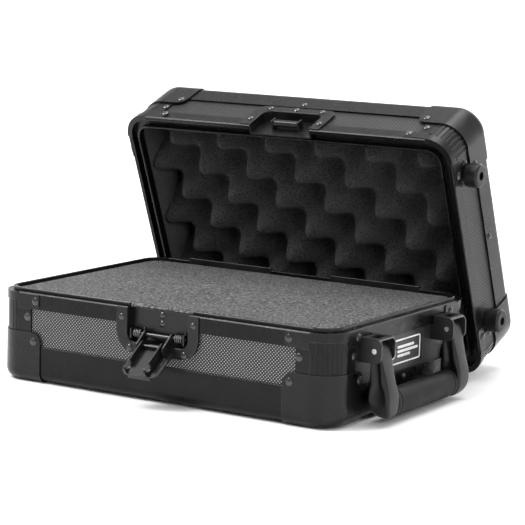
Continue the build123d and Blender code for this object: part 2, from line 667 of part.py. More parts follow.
def lid_lining():
    """Thin lining on the lid's inner walls between the foam and the rim rail."""
    w = HALF_W - WALL - FIT
    d = HALF_D - WALL - FIT
    z0 = LID_HEIGHT - LID_FOAM_BELOW + FIT
    z1 = LID_HEIGHT - TOP_RAIL - FIT
    r = CORNER_RADIUS - WALL - FIT
    inside = upright(-w + 1.5, w - 1.5, -d + 1.5, d - 1.5, z0 - 1, z1 + 1, r - 1.5)
    ring = upright(-w, w, -d, d, z0, z1, r) - inside
    s = DISH_SHEET + 0.5
    return ring - bar(-POCKET_HALF - s, POCKET_HALF + s, HALF_D - POCKET_DEPTH - s, HALF_D,
                      LID_HEIGHT - POCKET_BELOW - s, LID_HEIGHT)


def catch_roller():
    """Bar in the lid's dish that the latch pulls on, in the shut position."""
    y, z = lever_point(ROLLER_UP, ROLLER_IN)
    return rod(ROLLER_R, -ROLLER_HALF, ROLLER_HALF, y, z)


def catch_ears():
    """Two ears that hold the catch roller, in the shut position."""
    y, z = lever_point(ROLLER_UP, ROLLER_IN)
    back = -HALF_D + POCKET_DEPTH
    ears = []
    for sign in (-1, 1):
        x0, x1 = sorted((sign * ROLLER_HALF, sign * (ROLLER_HALF + 2.0)))
        ears.append(bar(x0, x1, y - 4.5, back, z - 4.5, z + 4.5))
    return ears


# ---- lid's place ---------------------------------------------------------------------
HINGE = (0, HINGE_Y, HINGE_Z)
FLOOR = -BALL_SHEET


def lid_slide():
    """How far the lid has come off its hinges, until its hooks stand on the ground."""
    t = radians(LID_OPEN)
    v_y, v_z = -cos(t), sin(t)
    w_y, w_z = sin(t), cos(t)
    along = (HINGE_Z - KNUCKLE_R - FLOOR + LID_LIFT * w_z) / v_z
    return along, (-along * v_y + LID_LIFT * w_y, -along * v_z + LID_LIFT * w_z)


def shut(piece):
    """Lid half, drawn mouth up, turned over onto the base."""
    return Pos(0, 0, BASE_HEIGHT + LID_HEIGHT) * Rot(180, 0, 0) * piece


def leaning(piece):
    """Moves a lid piece from the shut position to where the lid stands behind the base."""
    along, (move_y, move_z) = lid_slide()
    turned = Pos(*HINGE) * Rot(-LID_OPEN, 0, 0) * Pos(0, -HINGE_Y, -HINGE_Z)
    return Pos(0, move_y, move_z) * turned * piece


# ---- assembly ------------------------------------------------------------------------
NODES = {}


def keep(name, *solids):
    NODES[name] = list(solids)


def build_base():
    lower, rim = shell_rails(BASE)
    bottom, sides = shell_panels(BASE)
    keep("base_bottom_panel", bottom)
    keep("base_front_panel", sides[0] - pocket_room(BASE))
    keep("base_right_panel", sides[1])
    keep("base_back_panel", sides[2])
    keep("base_left_panel", sides[3])
    keep("base_lower_rails_long", lower[0], lower[2])
    keep("base_lower_rails_short", lower[1], lower[3])
    keep("base_rim_rail_front", rim[0] - pocket_room(BASE))
    back = rim[2] - hinge_notch(0.3) - mirror(hinge_notch(0.3), about=Plane.YZ)
    keep("base_rim_rail_back", back)
    keep("base_rim_rails_side", rim[1], rim[3])
    places = corner_places()
    keep("base_corner_posts", *[p * corner_post(BASE) for p in places])
    keep("base_rim_corners", *[p * rim_corner(BASE) for p in places])
    for name, place in zip(CORNER_NAMES, places):
        keep(f"base_ball_corner_{name}", place * ball_corner(BASE))
    keep("base_foam", base_foam())
    keep("base_feet", *feet_on(BASE, 3))
    dish_heads = [Pos(x, -HALF_D - DISH_SHEET, z) * Rot(90, 0, 0) * rivet(SMALL_RIVET_R)
                  for x, z in ((-42.5, 81.0), (42.5, 81.0), (-32.6, 51.0), (32.6, 51.0))]
    rail_heads = [side_point(k, 0, 0, 30.0) * Rot(90, 0, 0) * rivet(SMALL_RIVET_R) for k in (0, 1, 3)]
    keep("base_rivets", *(rivets_on(BASE) + dish_heads + rail_heads))


def build_latch():
    keep("latch_dish_lower", dish(BASE, DISH_BELOW, 22.0))
    keep("latch_bracket", latch_bracket())
    heads = [Pos(0, -HALF_D + POCKET_DEPTH - SHEET, z) * Rot(90, 0, 0) * rivet(SMALL_RIVET_R)
             for z in (BASE_HEIGHT - 6.0, BASE_HEIGHT - 14.5)]
    keep("latch_bracket_rivets", *heads)
    keep("latch_pivot_pin", pivot_pin())
    keep("latch_spring_left", spring_sleeve(-1))
    keep("latch_spring_right", spring_sleeve(1))
    keep("latch_lever", open_latch(latch_lever()))
    keep("latch_hook_pin", open_latch(hook_pin()))
    keep("latch_hook", open_latch(latch_hook()))


def build_hinges():
    keep("base_hinge_leaves", hinge_strip(), mirror(hinge_strip(), about=Plane.YZ))
    keep("hinge_pins", hinge_pin(), mirror(hinge_pin(), about=Plane.YZ))
    hooks = hinge_hooks()
    both = hooks + [mirror(h, about=Plane.YZ) for h in hooks]
    keep("lid_hinge_hooks", *[leaning(h) for h in both])


def build_handle():
    keep("handle_bracket_front", handle_bracket(-1))
    keep("handle_bracket_back", handle_bracket(1))
    keep("handle_frame", handle_frame())
    keep("handle_grip", handle_grip())
    keep("handle_pins", handle_pin(-1), handle_pin(1))
    keep("badge_plate", badge_plate())


def hook_room():
    """Room for the hinge hooks' webs in the lid's rear rim rail, in the shut position."""
    room = None
    for a, b in LID_KNUCKLES:
        box = bar(HINGE_START + a - 0.1, HINGE_START + b + 0.1, HALF_D - 2.0, HALF_D + 1,
                  BASE_HEIGHT, BASE_HEIGHT + RIM_GAP + 6.1)
        room = box if room is None else room + box
    return room + mirror(room, about=Plane.YZ)


def build_lid():
    lower, rim = shell_rails(LID)
    bottom, sides = shell_panels(LID)

    def place(piece):
        return leaning(shut(piece))

    def front(piece):
        """A piece drawn on the front of a half, moved to the lid's latch side."""
        return place(Rot(0, 0, 180) * piece)

    keep("lid_top_panel", place(bottom))
    keep("lid_front_panel", front(sides[0] - pocket_room(LID)))
    keep("lid_right_panel", place(sides[1]))
    keep("lid_back_panel", place(sides[0]))
    keep("lid_left_panel", place(sides[3]))
    keep("lid_outer_rails_long", place(lower[0]), place(lower[2]))
    keep("lid_outer_rails_short", place(lower[1]), place(lower[3]))
    keep("lid_rim_rail_front", front(rim[0] - pocket_room(LID)))
    keep("lid_rim_rail_back", leaning(shut(rim[0]) - hook_room()))
    keep("lid_rim_rails_side", place(rim[1]), place(rim[3]))
    places = corner_places()
    keep("lid_corner_posts", *[place(p * corner_post(LID)) for p in places])
    keep("lid_rim_corners", *[place(p * rim_corner(LID)) for p in places])
    lid_names = ("back_right", "front_right", "front_left", "back_left")
    for name, p in zip(lid_names, places):
        keep(f"lid_ball_corner_{name}", place(p * ball_corner(LID)))
    keep("lid_foam", place(lid_foam()))
    keep("lid_lining", place(lid_lining()))
    keep("lid_feet", *[place(f) for f in feet_on(LID, 1) + feet_on(LID, 3)])
    keep("latch_dish_upper", front(dish(LID, LID_DISH_ABOVE, 10.0)))
    dish_heads = [Rot(0, 0, 180) * (Pos(x, -HALF_D - DISH_SHEET, z) * Rot(90, 0, 0) * rivet(SMALL_RIVET_R))
                  for x, z in ((-42.5, 68.0), (42.5, 68.0), (-32.0, 42.0), (0.0, 42.0), (32.0, 42.0))]
    rail_heads = [side_point(k, 0, 0, 25.3) * Rot(90, 0, 0) * rivet(SMALL_RIVET_R) for k in (1, 2, 3)]
    keep("lid_rivets", *[place(r) for r in rivets_on(LID) + dish_heads + rail_heads])
    keep("catch_roller", leaning(catch_roller()))
    keep("catch_ears", *[leaning(e) for e in catch_ears()])


def write_nodes():
    for name, pieces in NODES.items():
        solids = [s for piece in pieces for s in piece.solids()]
        shape = solids[0] if len(solids) == 1 else Compound(children=solids)
        shape.label = name
        export_step(shape, f"parts/{name}.step")


build_base()
build_latch()
build_hinges()
build_handle()
build_lid()
write_nodes()
along, (move_y, move_z) = lid_slide()
print("nodes", len(NODES))
print("lid moved back", round(along, 3), "offset", round(move_y, 3), round(move_z, 3))
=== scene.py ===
"""Carry case with rails, ball corners and a lift-off lid: foams, springs, screws, badge, finishes and stage.

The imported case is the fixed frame. Each operator adds one group of pieces or finishes to it, in metres.
"""

import json
import math

import bpy
import numpy as np
from bpy.props import FloatProperty, FloatVectorProperty, IntProperty, PointerProperty
from mathutils import Matrix, Vector

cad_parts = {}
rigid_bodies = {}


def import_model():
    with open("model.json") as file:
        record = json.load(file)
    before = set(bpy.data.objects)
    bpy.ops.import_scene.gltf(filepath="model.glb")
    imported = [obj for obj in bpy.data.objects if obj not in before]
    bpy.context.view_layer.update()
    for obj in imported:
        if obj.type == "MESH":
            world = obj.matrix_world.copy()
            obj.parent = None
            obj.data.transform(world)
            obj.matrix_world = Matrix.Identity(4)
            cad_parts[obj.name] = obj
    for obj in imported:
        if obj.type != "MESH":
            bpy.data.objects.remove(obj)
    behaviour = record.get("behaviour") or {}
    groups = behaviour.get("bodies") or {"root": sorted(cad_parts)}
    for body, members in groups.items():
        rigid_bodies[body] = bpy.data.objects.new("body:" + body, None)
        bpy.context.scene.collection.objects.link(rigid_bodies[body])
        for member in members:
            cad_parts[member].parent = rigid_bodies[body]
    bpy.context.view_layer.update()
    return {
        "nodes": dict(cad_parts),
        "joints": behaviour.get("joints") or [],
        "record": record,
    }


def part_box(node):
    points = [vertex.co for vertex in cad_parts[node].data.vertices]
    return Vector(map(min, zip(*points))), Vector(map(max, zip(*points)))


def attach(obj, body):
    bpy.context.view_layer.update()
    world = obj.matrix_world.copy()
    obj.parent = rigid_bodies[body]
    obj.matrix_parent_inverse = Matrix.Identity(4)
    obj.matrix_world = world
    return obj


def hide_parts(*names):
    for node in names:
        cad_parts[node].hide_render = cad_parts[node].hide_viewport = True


bl_info = {
    "name": "Rail-edged carry case",
    "version": (1, 0, 0),
    "blender": (4, 5, 0),
    "location": "3D View > Sidebar > Carry Case",
    "description": "Adds the soft pieces, fittings, finishes and stage of a carry case",
    "category": "Object",
}

for start_object in list(bpy.data.objects):
    bpy.data.objects.remove(start_object)

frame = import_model()

MM = 0.001
FLOOR_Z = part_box("base_ball_corner_front_left")[0][2]


def joint_called(name):
    """The record's entry of one joint."""
    return next(joint for joint in frame["joints"] if joint["name"] == name)


def as_arrays(box):
    """Lowest and highest corner of a box, as two arrays."""
    return tuple(np.array(corner) for corner in box)


# ---- the lid's own axes ---------------------------------------------------------------
HINGE = joint_called("lid_hinge")
SLIP = joint_called("lid_slip_off")
LEAN = math.radians(-HINGE["range_deg"][0])
LID_UP = np.array([0.0, -math.cos(LEAN), math.sin(LEAN)])     # from the hinge edge to the latch edge
LID_IN = np.array([0.0, math.sin(LEAN), math.cos(LEAN)])      # from the mouth to the lid's top
PIN_FROM_FACE = 1.0 * MM      # the hinge's axis inside the lid's hinge edge, and in front of its mouth
PIN_FROM_RIM = 3.0 * MM
LID_CORNER = (np.array(HINGE["pos_m"]) - SLIP["range_m"][0] * np.array(SLIP["axis"])
              - PIN_FROM_FACE * LID_UP + PIN_FROM_RIM * LID_IN)

# ---- sizes that the foams share ---------------------------------------------------------
CASE_HALF_DEPTH = -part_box("base_rim_rail_front")[0][1]
FOAM_LOW, FOAM_HIGH = as_arrays(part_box("base_foam"))
FOAM_HALF_X = FOAM_HIGH[0]
FOAM_HALF_Y = FOAM_HIGH[1]
FOAM_CORNER = 18.0 * MM
POCKET_HALF = 39.0 * MM       # half width of the notch behind the latch pocket
POCKET_SOFT = 5.0 * MM        # length over which the notch comes in
POCKET_PUSH = 4.0 * MM        # depth of the notch

# ---- how finely curves are divided --------------------------------------------------------
CORNER_STEPS = 13             # points on each quarter circle of an outline
EDGE_STEPS = 7                # points on the quarter circle of a turned-over edge
BEAD_STEPS = 9                # points on a half-round section


def lid_points(x, up, inward):
    """World points of lid coordinates: corner + x along X + up along the lid + inward from its mouth."""
    x, up, inward = np.broadcast_arrays(x, up, inward)
    along = np.stack([x, np.zeros_like(x), np.zeros_like(x)], axis=-1)
    return LID_CORNER + along + up[..., None] * LID_UP + inward[..., None] * LID_IN


# ---- mesh helpers -----------------------------------------------------------------------
def grid_quads(rows, columns, close_rows=False, close_columns=True):
    """Corner numbers of the quads of a grid stored row by row, joined end to end where asked."""
    row = np.arange(rows if close_rows else rows - 1)[:, None]
    column = np.arange(columns if close_columns else columns - 1)[None, :]
    next_row = (row + 1) % rows
    next_column = (column + 1) % columns
    corners = (row * columns + column, next_row * columns + column,
               next_row * columns + next_column, row * columns + next_column)
    return np.stack([np.broadcast_to(c, (row.size, column.size)) for c in corners], axis=-1).reshape(-1, 4)


def pole_triangles(ring, columns, pole, outward):
    """Triangles from the closed ring that starts at vertex `ring` to one pole vertex."""
    here = ring + np.arange(columns)
    after = ring + (np.arange(columns) + 1) % columns
    tip = np.full(columns, pole)
    order = (tip, here, after) if outward else (tip, after, here)
    return np.stack(order, axis=-1)


def join_parts(parts):
    """One (points, quads, triangles) from several."""
    points, quads, triangles = [], [], []
    start = 0
    for part_points, part_quads, part_triangles in parts:
        points.append(part_points)
        quads.append(part_quads + start)
        triangles.append(part_triangles + start)
        start += len(part_points)
    return np.concatenate(points), np.concatenate(quads), np.concatenate(triangles)


def add_piece(name, part, material, body):
    """A smooth-shaded mesh object at the origin from points, quads and triangles, riding on one body."""
    points, quads, triangles = part
    mesh = bpy.data.meshes.new(name)
    loops = np.concatenate([quads.ravel(), triangles.ravel()]).astype(np.int32)
    starts = np.concatenate([np.arange(len(quads)) * 4, len(quads) * 4 + np.arange(len(triangles)) * 3])
    mesh.vertices.add(len(points))
    mesh.loops.add(len(loops))
    mesh.polygons.add(len(starts))
    mesh.vertices.foreach_set("co", np.asarray(points, np.float32).ravel())
    mesh.loops.foreach_set("vertex_index", loops)
    mesh.polygons.foreach_set("loop_start", starts.astype(np.int32))
    mesh.update(calc_edges=True)
    if mesh.validate():
        raise RuntimeError(f"{name} has faces that had to be mended")
    mesh.polygons.foreach_set("use_smooth", np.ones(len(starts), bool))
    piece = bpy.data.objects.new(name, mesh)
    bpy.context.scene.collection.objects.link(piece)
    mesh.materials.append(material)
    if body:
        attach(piece, body)
    return piece


NO_TRIANGLES = np.zeros((0, 3), int)


def closed_rings(points):
    """Closed skin over rings: points is (rings, around, 3), and each end closes on its ring's middle."""
    rings, around = points.shape[:2]
    poles = np.stack([points[0].mean(axis=0), points[-1].mean(axis=0)])
    skin = np.concatenate([points.reshape(-1, 3), poles])
    first, last = rings * around, rings * around + 1
    triangles = np.concatenate([pole_triangles(0, around, first, True),
                                pole_triangles((rings - 1) * around, around, last, False)])
    return skin, grid_quads(rings, around), triangles


def closed_loop(points):
    """Ring-shaped skin, such as a frame or a washer: points is (rings, around, 3), joined both ways."""
    rings, around = points.shape[:2]
    return points.reshape(-1, 3), grid_quads(rings, around, close_rows=True), NO_TRIANGLES


def rounded_outline(half_x, half_y, corner, count):
    """Rounded rectangle, anticlockwise: quarter circles about four inner corners, at even steps of length."""
    quarter = np.linspace(0, math.pi / 2, CORNER_STEPS)
    turn = (quarter[None, :] + np.arange(4)[:, None] * math.pi / 2).ravel()
    sign_x = np.repeat([1, -1, -1, 1], len(quarter))
    sign_y = np.repeat([1, 1, -1, -1], len(quarter))
    x = sign_x * (half_x - corner) + corner * np.cos(turn)
    y = sign_y * (half_y - corner) + corner * np.sin(turn)
    x, y = np.append(x, x[0]), np.append(y, y[0])
    length = np.concatenate([[0], np.cumsum(np.hypot(np.diff(x), np.diff(y)))])
    step = np.linspace(0, length[-1], count, endpoint=False)
    return np.interp(step, length, x), np.interp(step, length, y)


def smooth_step(value):
    """0 below 0, 1 above 1 and 3t^2 - 2t^3 between."""
    t = np.clip(value, 0, 1)
    return t * t * (3 - 2 * t)


def pocket_notch(x, y, half_y, toward):
    """How far foam at (x, y) moves back from the latch pocket, which is on the side `toward` along y.

    The push is largest at the edge behind the pocket and fades with the fourth power of y, and over a soft
    length beyond the pocket's ends.
    """
    across = smooth_step((POCKET_HALF + POCKET_SOFT - np.abs(x)) / POCKET_SOFT)
    nearness = np.clip(toward * y / half_y, 0, 1) ** 4
    return -toward * POCKET_PUSH * across * nearness


# ---- soft pieces --------------------------------------------------------------------------
FOAM_AROUND = 420             # points round the block, and rings over its top
FOAM_RINGS = 46
FOAM_MIDDLE = 0.02            # reach of the first ring, as a share of the last
FOAM_SIDE = 30.0 * MM         # a ring on the side, below the top
FOAM_TUCK = 6.0 * MM          # how far the underside's edge is drawn in, and over what height
LIP_REACH = 6.3 * MM          # strip of the base foam under the lid's rim
STEP_RUN = 5.0 * MM           # length and height of the step up inside that strip
STEP_RISE = 1.3 * MM
WAVE_RISE = 0.35 * MM
WAVE_X = 70.0                 # radians per metre, and each wave's angle at the middle of the block
WAVE_Y = 88.0
WAVE_X_START = 1.3
WAVE_Y_START = -0.4


def base_foam_part(crown, edge):
    """Foam block: rings grow from the middle of the top to its edge, turn over a quarter circle and go down.

    Inside the strip that the lid's rim presses on, the top steps up and then rises by crown times
    (1 - x^2)(1 - y^2). Low waves of about 90 and 70 mm lie on it.
    """
    x1, y1 = rounded_outline(FOAM_HALF_X, FOAM_HALF_Y, FOAM_CORNER, FOAM_AROUND)
    turn = np.linspace(0, math.pi / 2, EDGE_STEPS)[1:]
    sides = np.array([FOAM_HIGH[2] - FOAM_SIDE, FOAM_LOW[2] + FOAM_TUCK, FOAM_LOW[2]])
    inset = np.concatenate([np.full(FOAM_RINGS, edge), edge * (1 - np.sin(turn)), [0.0, 0.0, FOAM_TUCK]])
    scale = np.concatenate([np.linspace(FOAM_MIDDLE, 1, FOAM_RINGS), np.ones(len(turn) + len(sides))])
    drop = np.concatenate([np.zeros(FOAM_RINGS), edge * (1 - np.cos(turn))])
    x = scale[:, None] * x1 * (1 - inset[:, None] / FOAM_HALF_X)
    y = scale[:, None] * y1 * (1 - inset[:, None] / FOAM_HALF_Y)
    y = y + pocket_notch(x, y, FOAM_HALF_Y, -1)
    from_edge = np.minimum(FOAM_HALF_X - np.abs(x), FOAM_HALF_Y - np.abs(y))
    inner = smooth_step((from_edge - LIP_REACH) / STEP_RUN)
    u, v = x / FOAM_HALF_X, y / FOAM_HALF_Y
    swell = inner * (STEP_RISE + crown * (1 - u ** 2) * (1 - v ** 2))
    waves = inner * WAVE_RISE * np.sin(WAVE_X * x + WAVE_X_START) * np.cos(WAVE_Y * y + WAVE_Y_START)
    z = FOAM_HIGH[2] + swell + waves
    z[:len(drop)] -= drop[:, None]
    z[len(drop):] = sides[:, None]
    return closed_rings(np.stack([x, y, z], axis=-1))


CRATE_STEP_X = 62.0 * MM
CRATE_STEP_Y = 68.0 * MM
CRATE_PEAK = 17.0 * MM        # depths below the lid's mouth: peaks, valleys and the pad's back
CRATE_VALLEY = 66.0 * MM
CRATE_BACK = 73.7 * MM
CRATE_POWER = 1.15            # above 1, peaks are narrower than valleys
CRATE_AROUND = 520            # points round the pad, and rings over its face
CRATE_RINGS = 100
CRATE_MIDDLE = 0.012          # reach of the first ring, as a share of the last
CRATE_GAP = 2.2 * MM          # room for the lining round the pad
CRATE_SIDE = 0.4              # place of a ring on the pad's side, as a share of the way to its back
CRATE_TUCK = 0.98             # reach of the back's ring


def crate_depth(x, y):
    """Depth of the egg-crate face, with staggered peaks.

    The wave w is cos(2 pi x / step) cos(2 pi y / step), and the height from valley to peak goes with
    ((1 + w) / 2) raised to a power.
    """
    wave = np.cos(2 * math.pi * x / CRATE_STEP_X) * np.cos(2 * math.pi * y / CRATE_STEP_Y)
    return CRATE_VALLEY - (CRATE_VALLEY - CRATE_PEAK) * ((1 + wave) / 2) ** CRATE_POWER


def lid_foam_part():
    """Egg-crate pad: rings grow from its middle to its edge over the waved face, then go down to its back."""
    x1, y1 = rounded_outline(FOAM_HALF_X - CRATE_GAP, FOAM_HALF_Y - CRATE_GAP, FOAM_CORNER, CRATE_AROUND)
    scale = np.concatenate([np.linspace(CRATE_MIDDLE, 1, CRATE_RINGS), [1.0, 1.0, CRATE_TUCK]])
    x = scale[:, None] * x1
    y = scale[:, None] * y1
    y = y + pocket_notch(x, y, FOAM_HALF_Y, 1)
    depth = crate_depth(x, y)
    depth[-3] = depth[-4] + CRATE_SIDE * (CRATE_BACK - depth[-4])
    depth[-2:] = CRATE_BACK
    return closed_rings(lid_points(x, CASE_HALF_DEPTH + y, depth))


LINING_AROUND = 360


def lining_part(thick, mouth, back):
    """Lining band: a strip section with a half-round edge, carried round the inside of the lid's walls."""
    x1, y1 = rounded_outline(FOAM_HALF_X, FOAM_HALF_Y, FOAM_CORNER, LINING_AROUND)
    x2, y2 = rounded_outline(FOAM_HALF_X - thick, FOAM_HALF_Y - thick, FOAM_CORNER - thick, LINING_AROUND)
    turn = np.linspace(0, math.pi, BEAD_STEPS)[1:-1]
    blend = np.concatenate([[0, 0, 0], 0.5 - 0.5 * np.cos(turn), [1, 1, 1]])
    wall = [back, (back + mouth) / 2, mouth + thick]
    depth = np.concatenate([wall, mouth + thick * (1 - np.sin(turn)), wall[::-1]])
    x = x1 + blend[:, None] * (x2 - x1)
    y = y1 + blend[:, None] * (y2 - y1)
    y = y + pocket_notch(x, y, FOAM_HALF_Y, 1)
    return closed_loop(lid_points(x, CASE_HALF_DEPTH + y, depth[:, None])[::-1])


# ---- small fittings -----------------------------------------------------------------------
SLANTED = [0.3, 0.5, 0.8]     # lies along no screw's axis
SCREW_AROUND = 24
SCREW_PROFILE = np.array([    # share of the radius, share of the rise, share of a hexagon in the outline
    [0.55, 0.0, 0], [1.0, 0.0, 0], [1.0, 0.35, 0], [0.94, 0.62, 0], [0.8, 0.85, 0],
    [0.6, 0.97, 0], [0.48, 1.0, 1], [0.42, 0.96, 1], [0.4, 0.3, 1], [0.2, 0.2, 1]])


def screw_part(base, axis, radius, rise):
    """Pan-head screw with a hexagon recess: its profile carried once round the axis from a base point.

    The profile goes out over a flat underside, up the rim and over a dome to a six-sided well, where the
    radius is multiplied by cos(30 deg) / cos(angle from the flat's middle).
    """
    side = np.cross(axis, SLANTED)
    side /= np.linalg.norm(side)
    other = np.cross(axis, side)
    angle = np.linspace(0, 2 * math.pi, SCREW_AROUND, endpoint=False)
    hexagon = math.cos(math.pi / 6) / np.cos((angle % (math.pi / 3)) - math.pi / 6)
    reach, height, share = (SCREW_PROFILE * [radius, rise, 1]).T[..., None]
    ring = np.cos(angle)[:, None] * side + np.sin(angle)[:, None] * other
    points = base + (reach * (1 + share * (hexagon - 1)))[..., None] * ring + height[..., None] * axis
    return closed_rings(points[::-1])


WIRE_STEPS = 28               # points on each turn of a spring, on each leg and round the wire
LEG_STEPS = 6
WIRE_AROUND = 8


def coil_part(low, high, wire, turns, leg):
    """Torsion spring: a round wire carried along a helix about X, with a straight leg at each end.

    At angle t the path is (x0 + pitch t / 2 pi, r cos t, r sin t) from the middle of the box.
    """
    middle = (low + high) / 2
    radius = (high[2] - low[2]) / 2 - wire
    start_x, end_x = low[0] + wire, high[0] - wire
    t = np.linspace(0, 1, WIRE_STEPS * turns)
    angle = 2 * math.pi * turns * t
    path = np.stack([start_x + (end_x - start_x) * t, middle[1] + radius * np.cos(angle),
                     middle[2] + radius * np.sin(angle)], axis=-1)
    step = np.linspace(0, leg, LEG_STEPS)[1:, None]
    first = path[0] - step[::-1] * np.array([0, 0, 1])
    last = path[-1] + step * np.array([0, 0, 1])
    return tube_part(np.concatenate([first, path, last]), wire, WIRE_AROUND)


NEAR_X = [1.0, 0.07, 0.03]    # a direction that no wire or bar follows


def tube_part(path, radius, around):
    """Round wire along a path: at each point a circle stands across the path's direction."""
    ahead = np.gradient(path, axis=0)
    ahead /= np.linalg.norm(ahead, axis=1)[:, None]
    side = np.cross(ahead, NEAR_X)
    side /= np.linalg.norm(side, axis=1)[:, None]
    other = np.cross(ahead, side)
    angle = np.linspace(0, 2 * math.pi, around, endpoint=False)
    ring = np.cos(angle)[None, :, None] * side[:, None, :] + np.sin(angle)[None, :, None] * other[:, None, :]
    return closed_rings((path[:, None, :] + radius * ring)[::-1])


GRIP_AROUND = 144             # points round the grip, and rings along it
GRIP_RINGS = 160
GRIP_ROUND = 0.03             # length of each rounded end, as a share of the half length
GRIP_TAPER = 0.12             # share of the half axes lost at the very end
GRIP_COLLAR = 0.88            # place of the end grooves, as a share of the half length
GRIP_SEAM = math.radians(312)
GROOVE_DEPTH = 0.6 * MM
GROOVE_WIDTH = 0.9 * MM       # scale of the bell shape
SEAM_WIDTH = 0.06             # the same for the groove along the sleeve, in radians


def grip_part(low, high, bore):
    """Grip sleeve: an oval carried along Y between its ends.

    The half axes are multiplied by a swell that falls by a quarter circle at each end. A bell-shaped groove
    runs round the sleeve near each end, and another runs along it, low on its outer side.
    """
    middle = (low + high) / 2
    half = (high - low) / 2
    turn = np.linspace(0, math.pi / 2, EDGE_STEPS)
    near_end = GRIP_ROUND * (1 - np.cos(turn))
    along = np.concatenate([-1 + near_end, np.linspace(-1 + GRIP_ROUND, 1 - GRIP_ROUND, GRIP_RINGS)[1:-1],
                            1 - near_end[::-1]])
    end = np.clip((1 - np.abs(along)) / GRIP_ROUND, 0, 1)
    swell = 1 - GRIP_TAPER + GRIP_TAPER * np.sqrt(1 - (1 - end) ** 2)
    angle = np.linspace(0, 2 * math.pi, GRIP_AROUND, endpoint=False)
    from_collar = (np.abs(along) - GRIP_COLLAR) * half[1] / GROOVE_WIDTH
    from_seam = (angle - GRIP_SEAM) / SEAM_WIDTH
    collars = GROOVE_DEPTH * np.exp(-from_collar[:, None] ** 2)
    seam = GROOVE_DEPTH * np.exp(-from_seam[None, :] ** 2) * (np.abs(along) < GRIP_COLLAR)[:, None]
    groove = np.maximum(collars, seam)
    outer = np.stack(np.broadcast_arrays(
        middle[0] + (half[0] * swell[:, None] - groove) * np.cos(angle), middle[1] + half[1] * along[:, None],
        middle[2] + (half[2] * swell[:, None] - groove) * np.sin(angle)), axis=-1)
    ends = middle[1] + half[1] * np.array([[1.0], [-1.0]])
    inner = np.stack(np.broadcast_arrays(
        middle[0] + bore * np.cos(angle), ends, middle[2] + bore * np.sin(angle)), axis=-1)
    return closed_loop(np.concatenate([outer, inner]))


def smooth_closed(points, count):
    """Closed Catmull-Rom curve through a few corner points, at equal steps of its parameter."""
    t = np.linspace(0, len(points), count, endpoint=False)
    k = t.astype(int)
    f = (t - k)[:, None]
    p0, p1, p2, p3 = (points[(k + shift) % len(points)] for shift in (-1, 0, 1, 2))
    return 0.5 * (2 * p1 + (p2 - p0) * f + (2 * p0 - 5 * p1 + 4 * p2 - p3) * f ** 2
                  + (3 * p1 - p0 - 3 * p2 + p3) * f ** 3)


ARM_SHAPE = np.array([        # the arm's side outline, as shares of its width and height
    [0.13, 0.93], [0.31, 1.0], [0.52, 0.93], [0.66, 0.72], [0.84, 0.5], [0.99, 0.3], [0.94, 0.1],
    [0.62, 0.0], [0.24, 0.04], [0.03, 0.18], [0.01, 0.36], [0.07, 0.66]])
ARM_AROUND = 120              # points round the outline, and rings over each face
ARM_RINGS = 16
ARM_THICK = 23.0 * MM
ARM_THIN = 2.0 * MM           # least thickness under the rounded outer corner
ARM_EDGE = 4.0 * MM
ARM_DISH = 2.6 * MM
ARM_CORNER = 20.0 * MM
ARM_MIDDLE = 0.03             # reach of the first ring, as a share of the last
ARM_UNDER = 0.98              # most of the corner's radius that is used, short of where it stands upright


def arm_part(low, high, side):
    """Handle arm: its side outline carried across its thickness, with rounded edges and dished faces.

    Rings grow from the middle of one face to its edge, turn over a quarter circle, cross the thickness and
    close over the other face. A face sinks by dish times (1 - s^2)^2, with s from 0 in the middle to 1 at the
    edge. Below the outer corner's middle the outer face follows a quarter circle.
    """
    size = np.array([high[0] - low[0], high[2] - low[2]])
    outline = smooth_closed(np.array([low[0], low[2]]) + ARM_SHAPE * size, ARM_AROUND)
    middle = outline.mean(axis=0)
    spread = np.linspace(ARM_MIDDLE, 1, ARM_RINGS)
    turn = np.linspace(0, math.pi / 2, EDGE_STEPS)[1:]
    half = ARM_THICK / 2
    inset = np.concatenate([np.full(ARM_RINGS, ARM_EDGE), ARM_EDGE * (1 - np.sin(turn))])
    reach = np.concatenate([spread, np.ones(len(turn))])
    across = np.concatenate([half - ARM_DISH * (1 - spread ** 2) ** 2, half - ARM_EDGE * (1 - np.cos(turn))])
    inset, reach = np.concatenate([inset, inset[::-1]]), np.concatenate([reach, reach[::-1]])
    across = np.concatenate([across, -across[::-1]])
    from_middle = outline - middle
    scale = reach[:, None] * (1 - inset[:, None] / np.linalg.norm(from_middle, axis=1))
    x = middle[0] + scale * from_middle[:, 0]
    z = middle[1] + scale * from_middle[:, 1]
    under = np.clip((low[2] + ARM_CORNER - z) / ARM_CORNER, 0, ARM_UNDER)
    pulled = ARM_CORNER * (1 - np.sqrt(1 - under ** 2))
    share = (across + half)[:, None] / ARM_THICK
    outer = high[1] if side > 0 else low[1]
    y = outer - side * (ARM_THICK - share * (ARM_THICK - np.minimum(pulled, ARM_THICK - ARM_THIN)))
    points = np.stack(np.broadcast_arrays(x, y, z), axis=-1)
    return closed_rings(points[::side])


CORE_INSET = 12.0 * MM        # from each arm's outer face to the end of the core bar
CORE_PLAY = 0.1 * MM          # between the core bar and the grip's bore
CORE_STEPS = 24               # points along the core bar and round it
CORE_AROUND = 32


def handle_part(low, high, grip_low, grip_high, core):
    """Both arms and the round core bar that joins them through the grip."""
    middle = (grip_low + grip_high) / 2
    y = np.linspace(low[1] + CORE_INSET, high[1] - CORE_INSET, CORE_STEPS)
    path = np.stack(np.broadcast_arrays(middle[0], y, middle[2]), axis=-1)
    return join_parts([arm_part(low, high, -1), arm_part(low, high, 1), tube_part(path, core, CORE_AROUND)])


BEAD_AROUND = 96              # points round a raised frame
BEAD_SINK = 0.2 * MM          # how far its underside goes into the plate


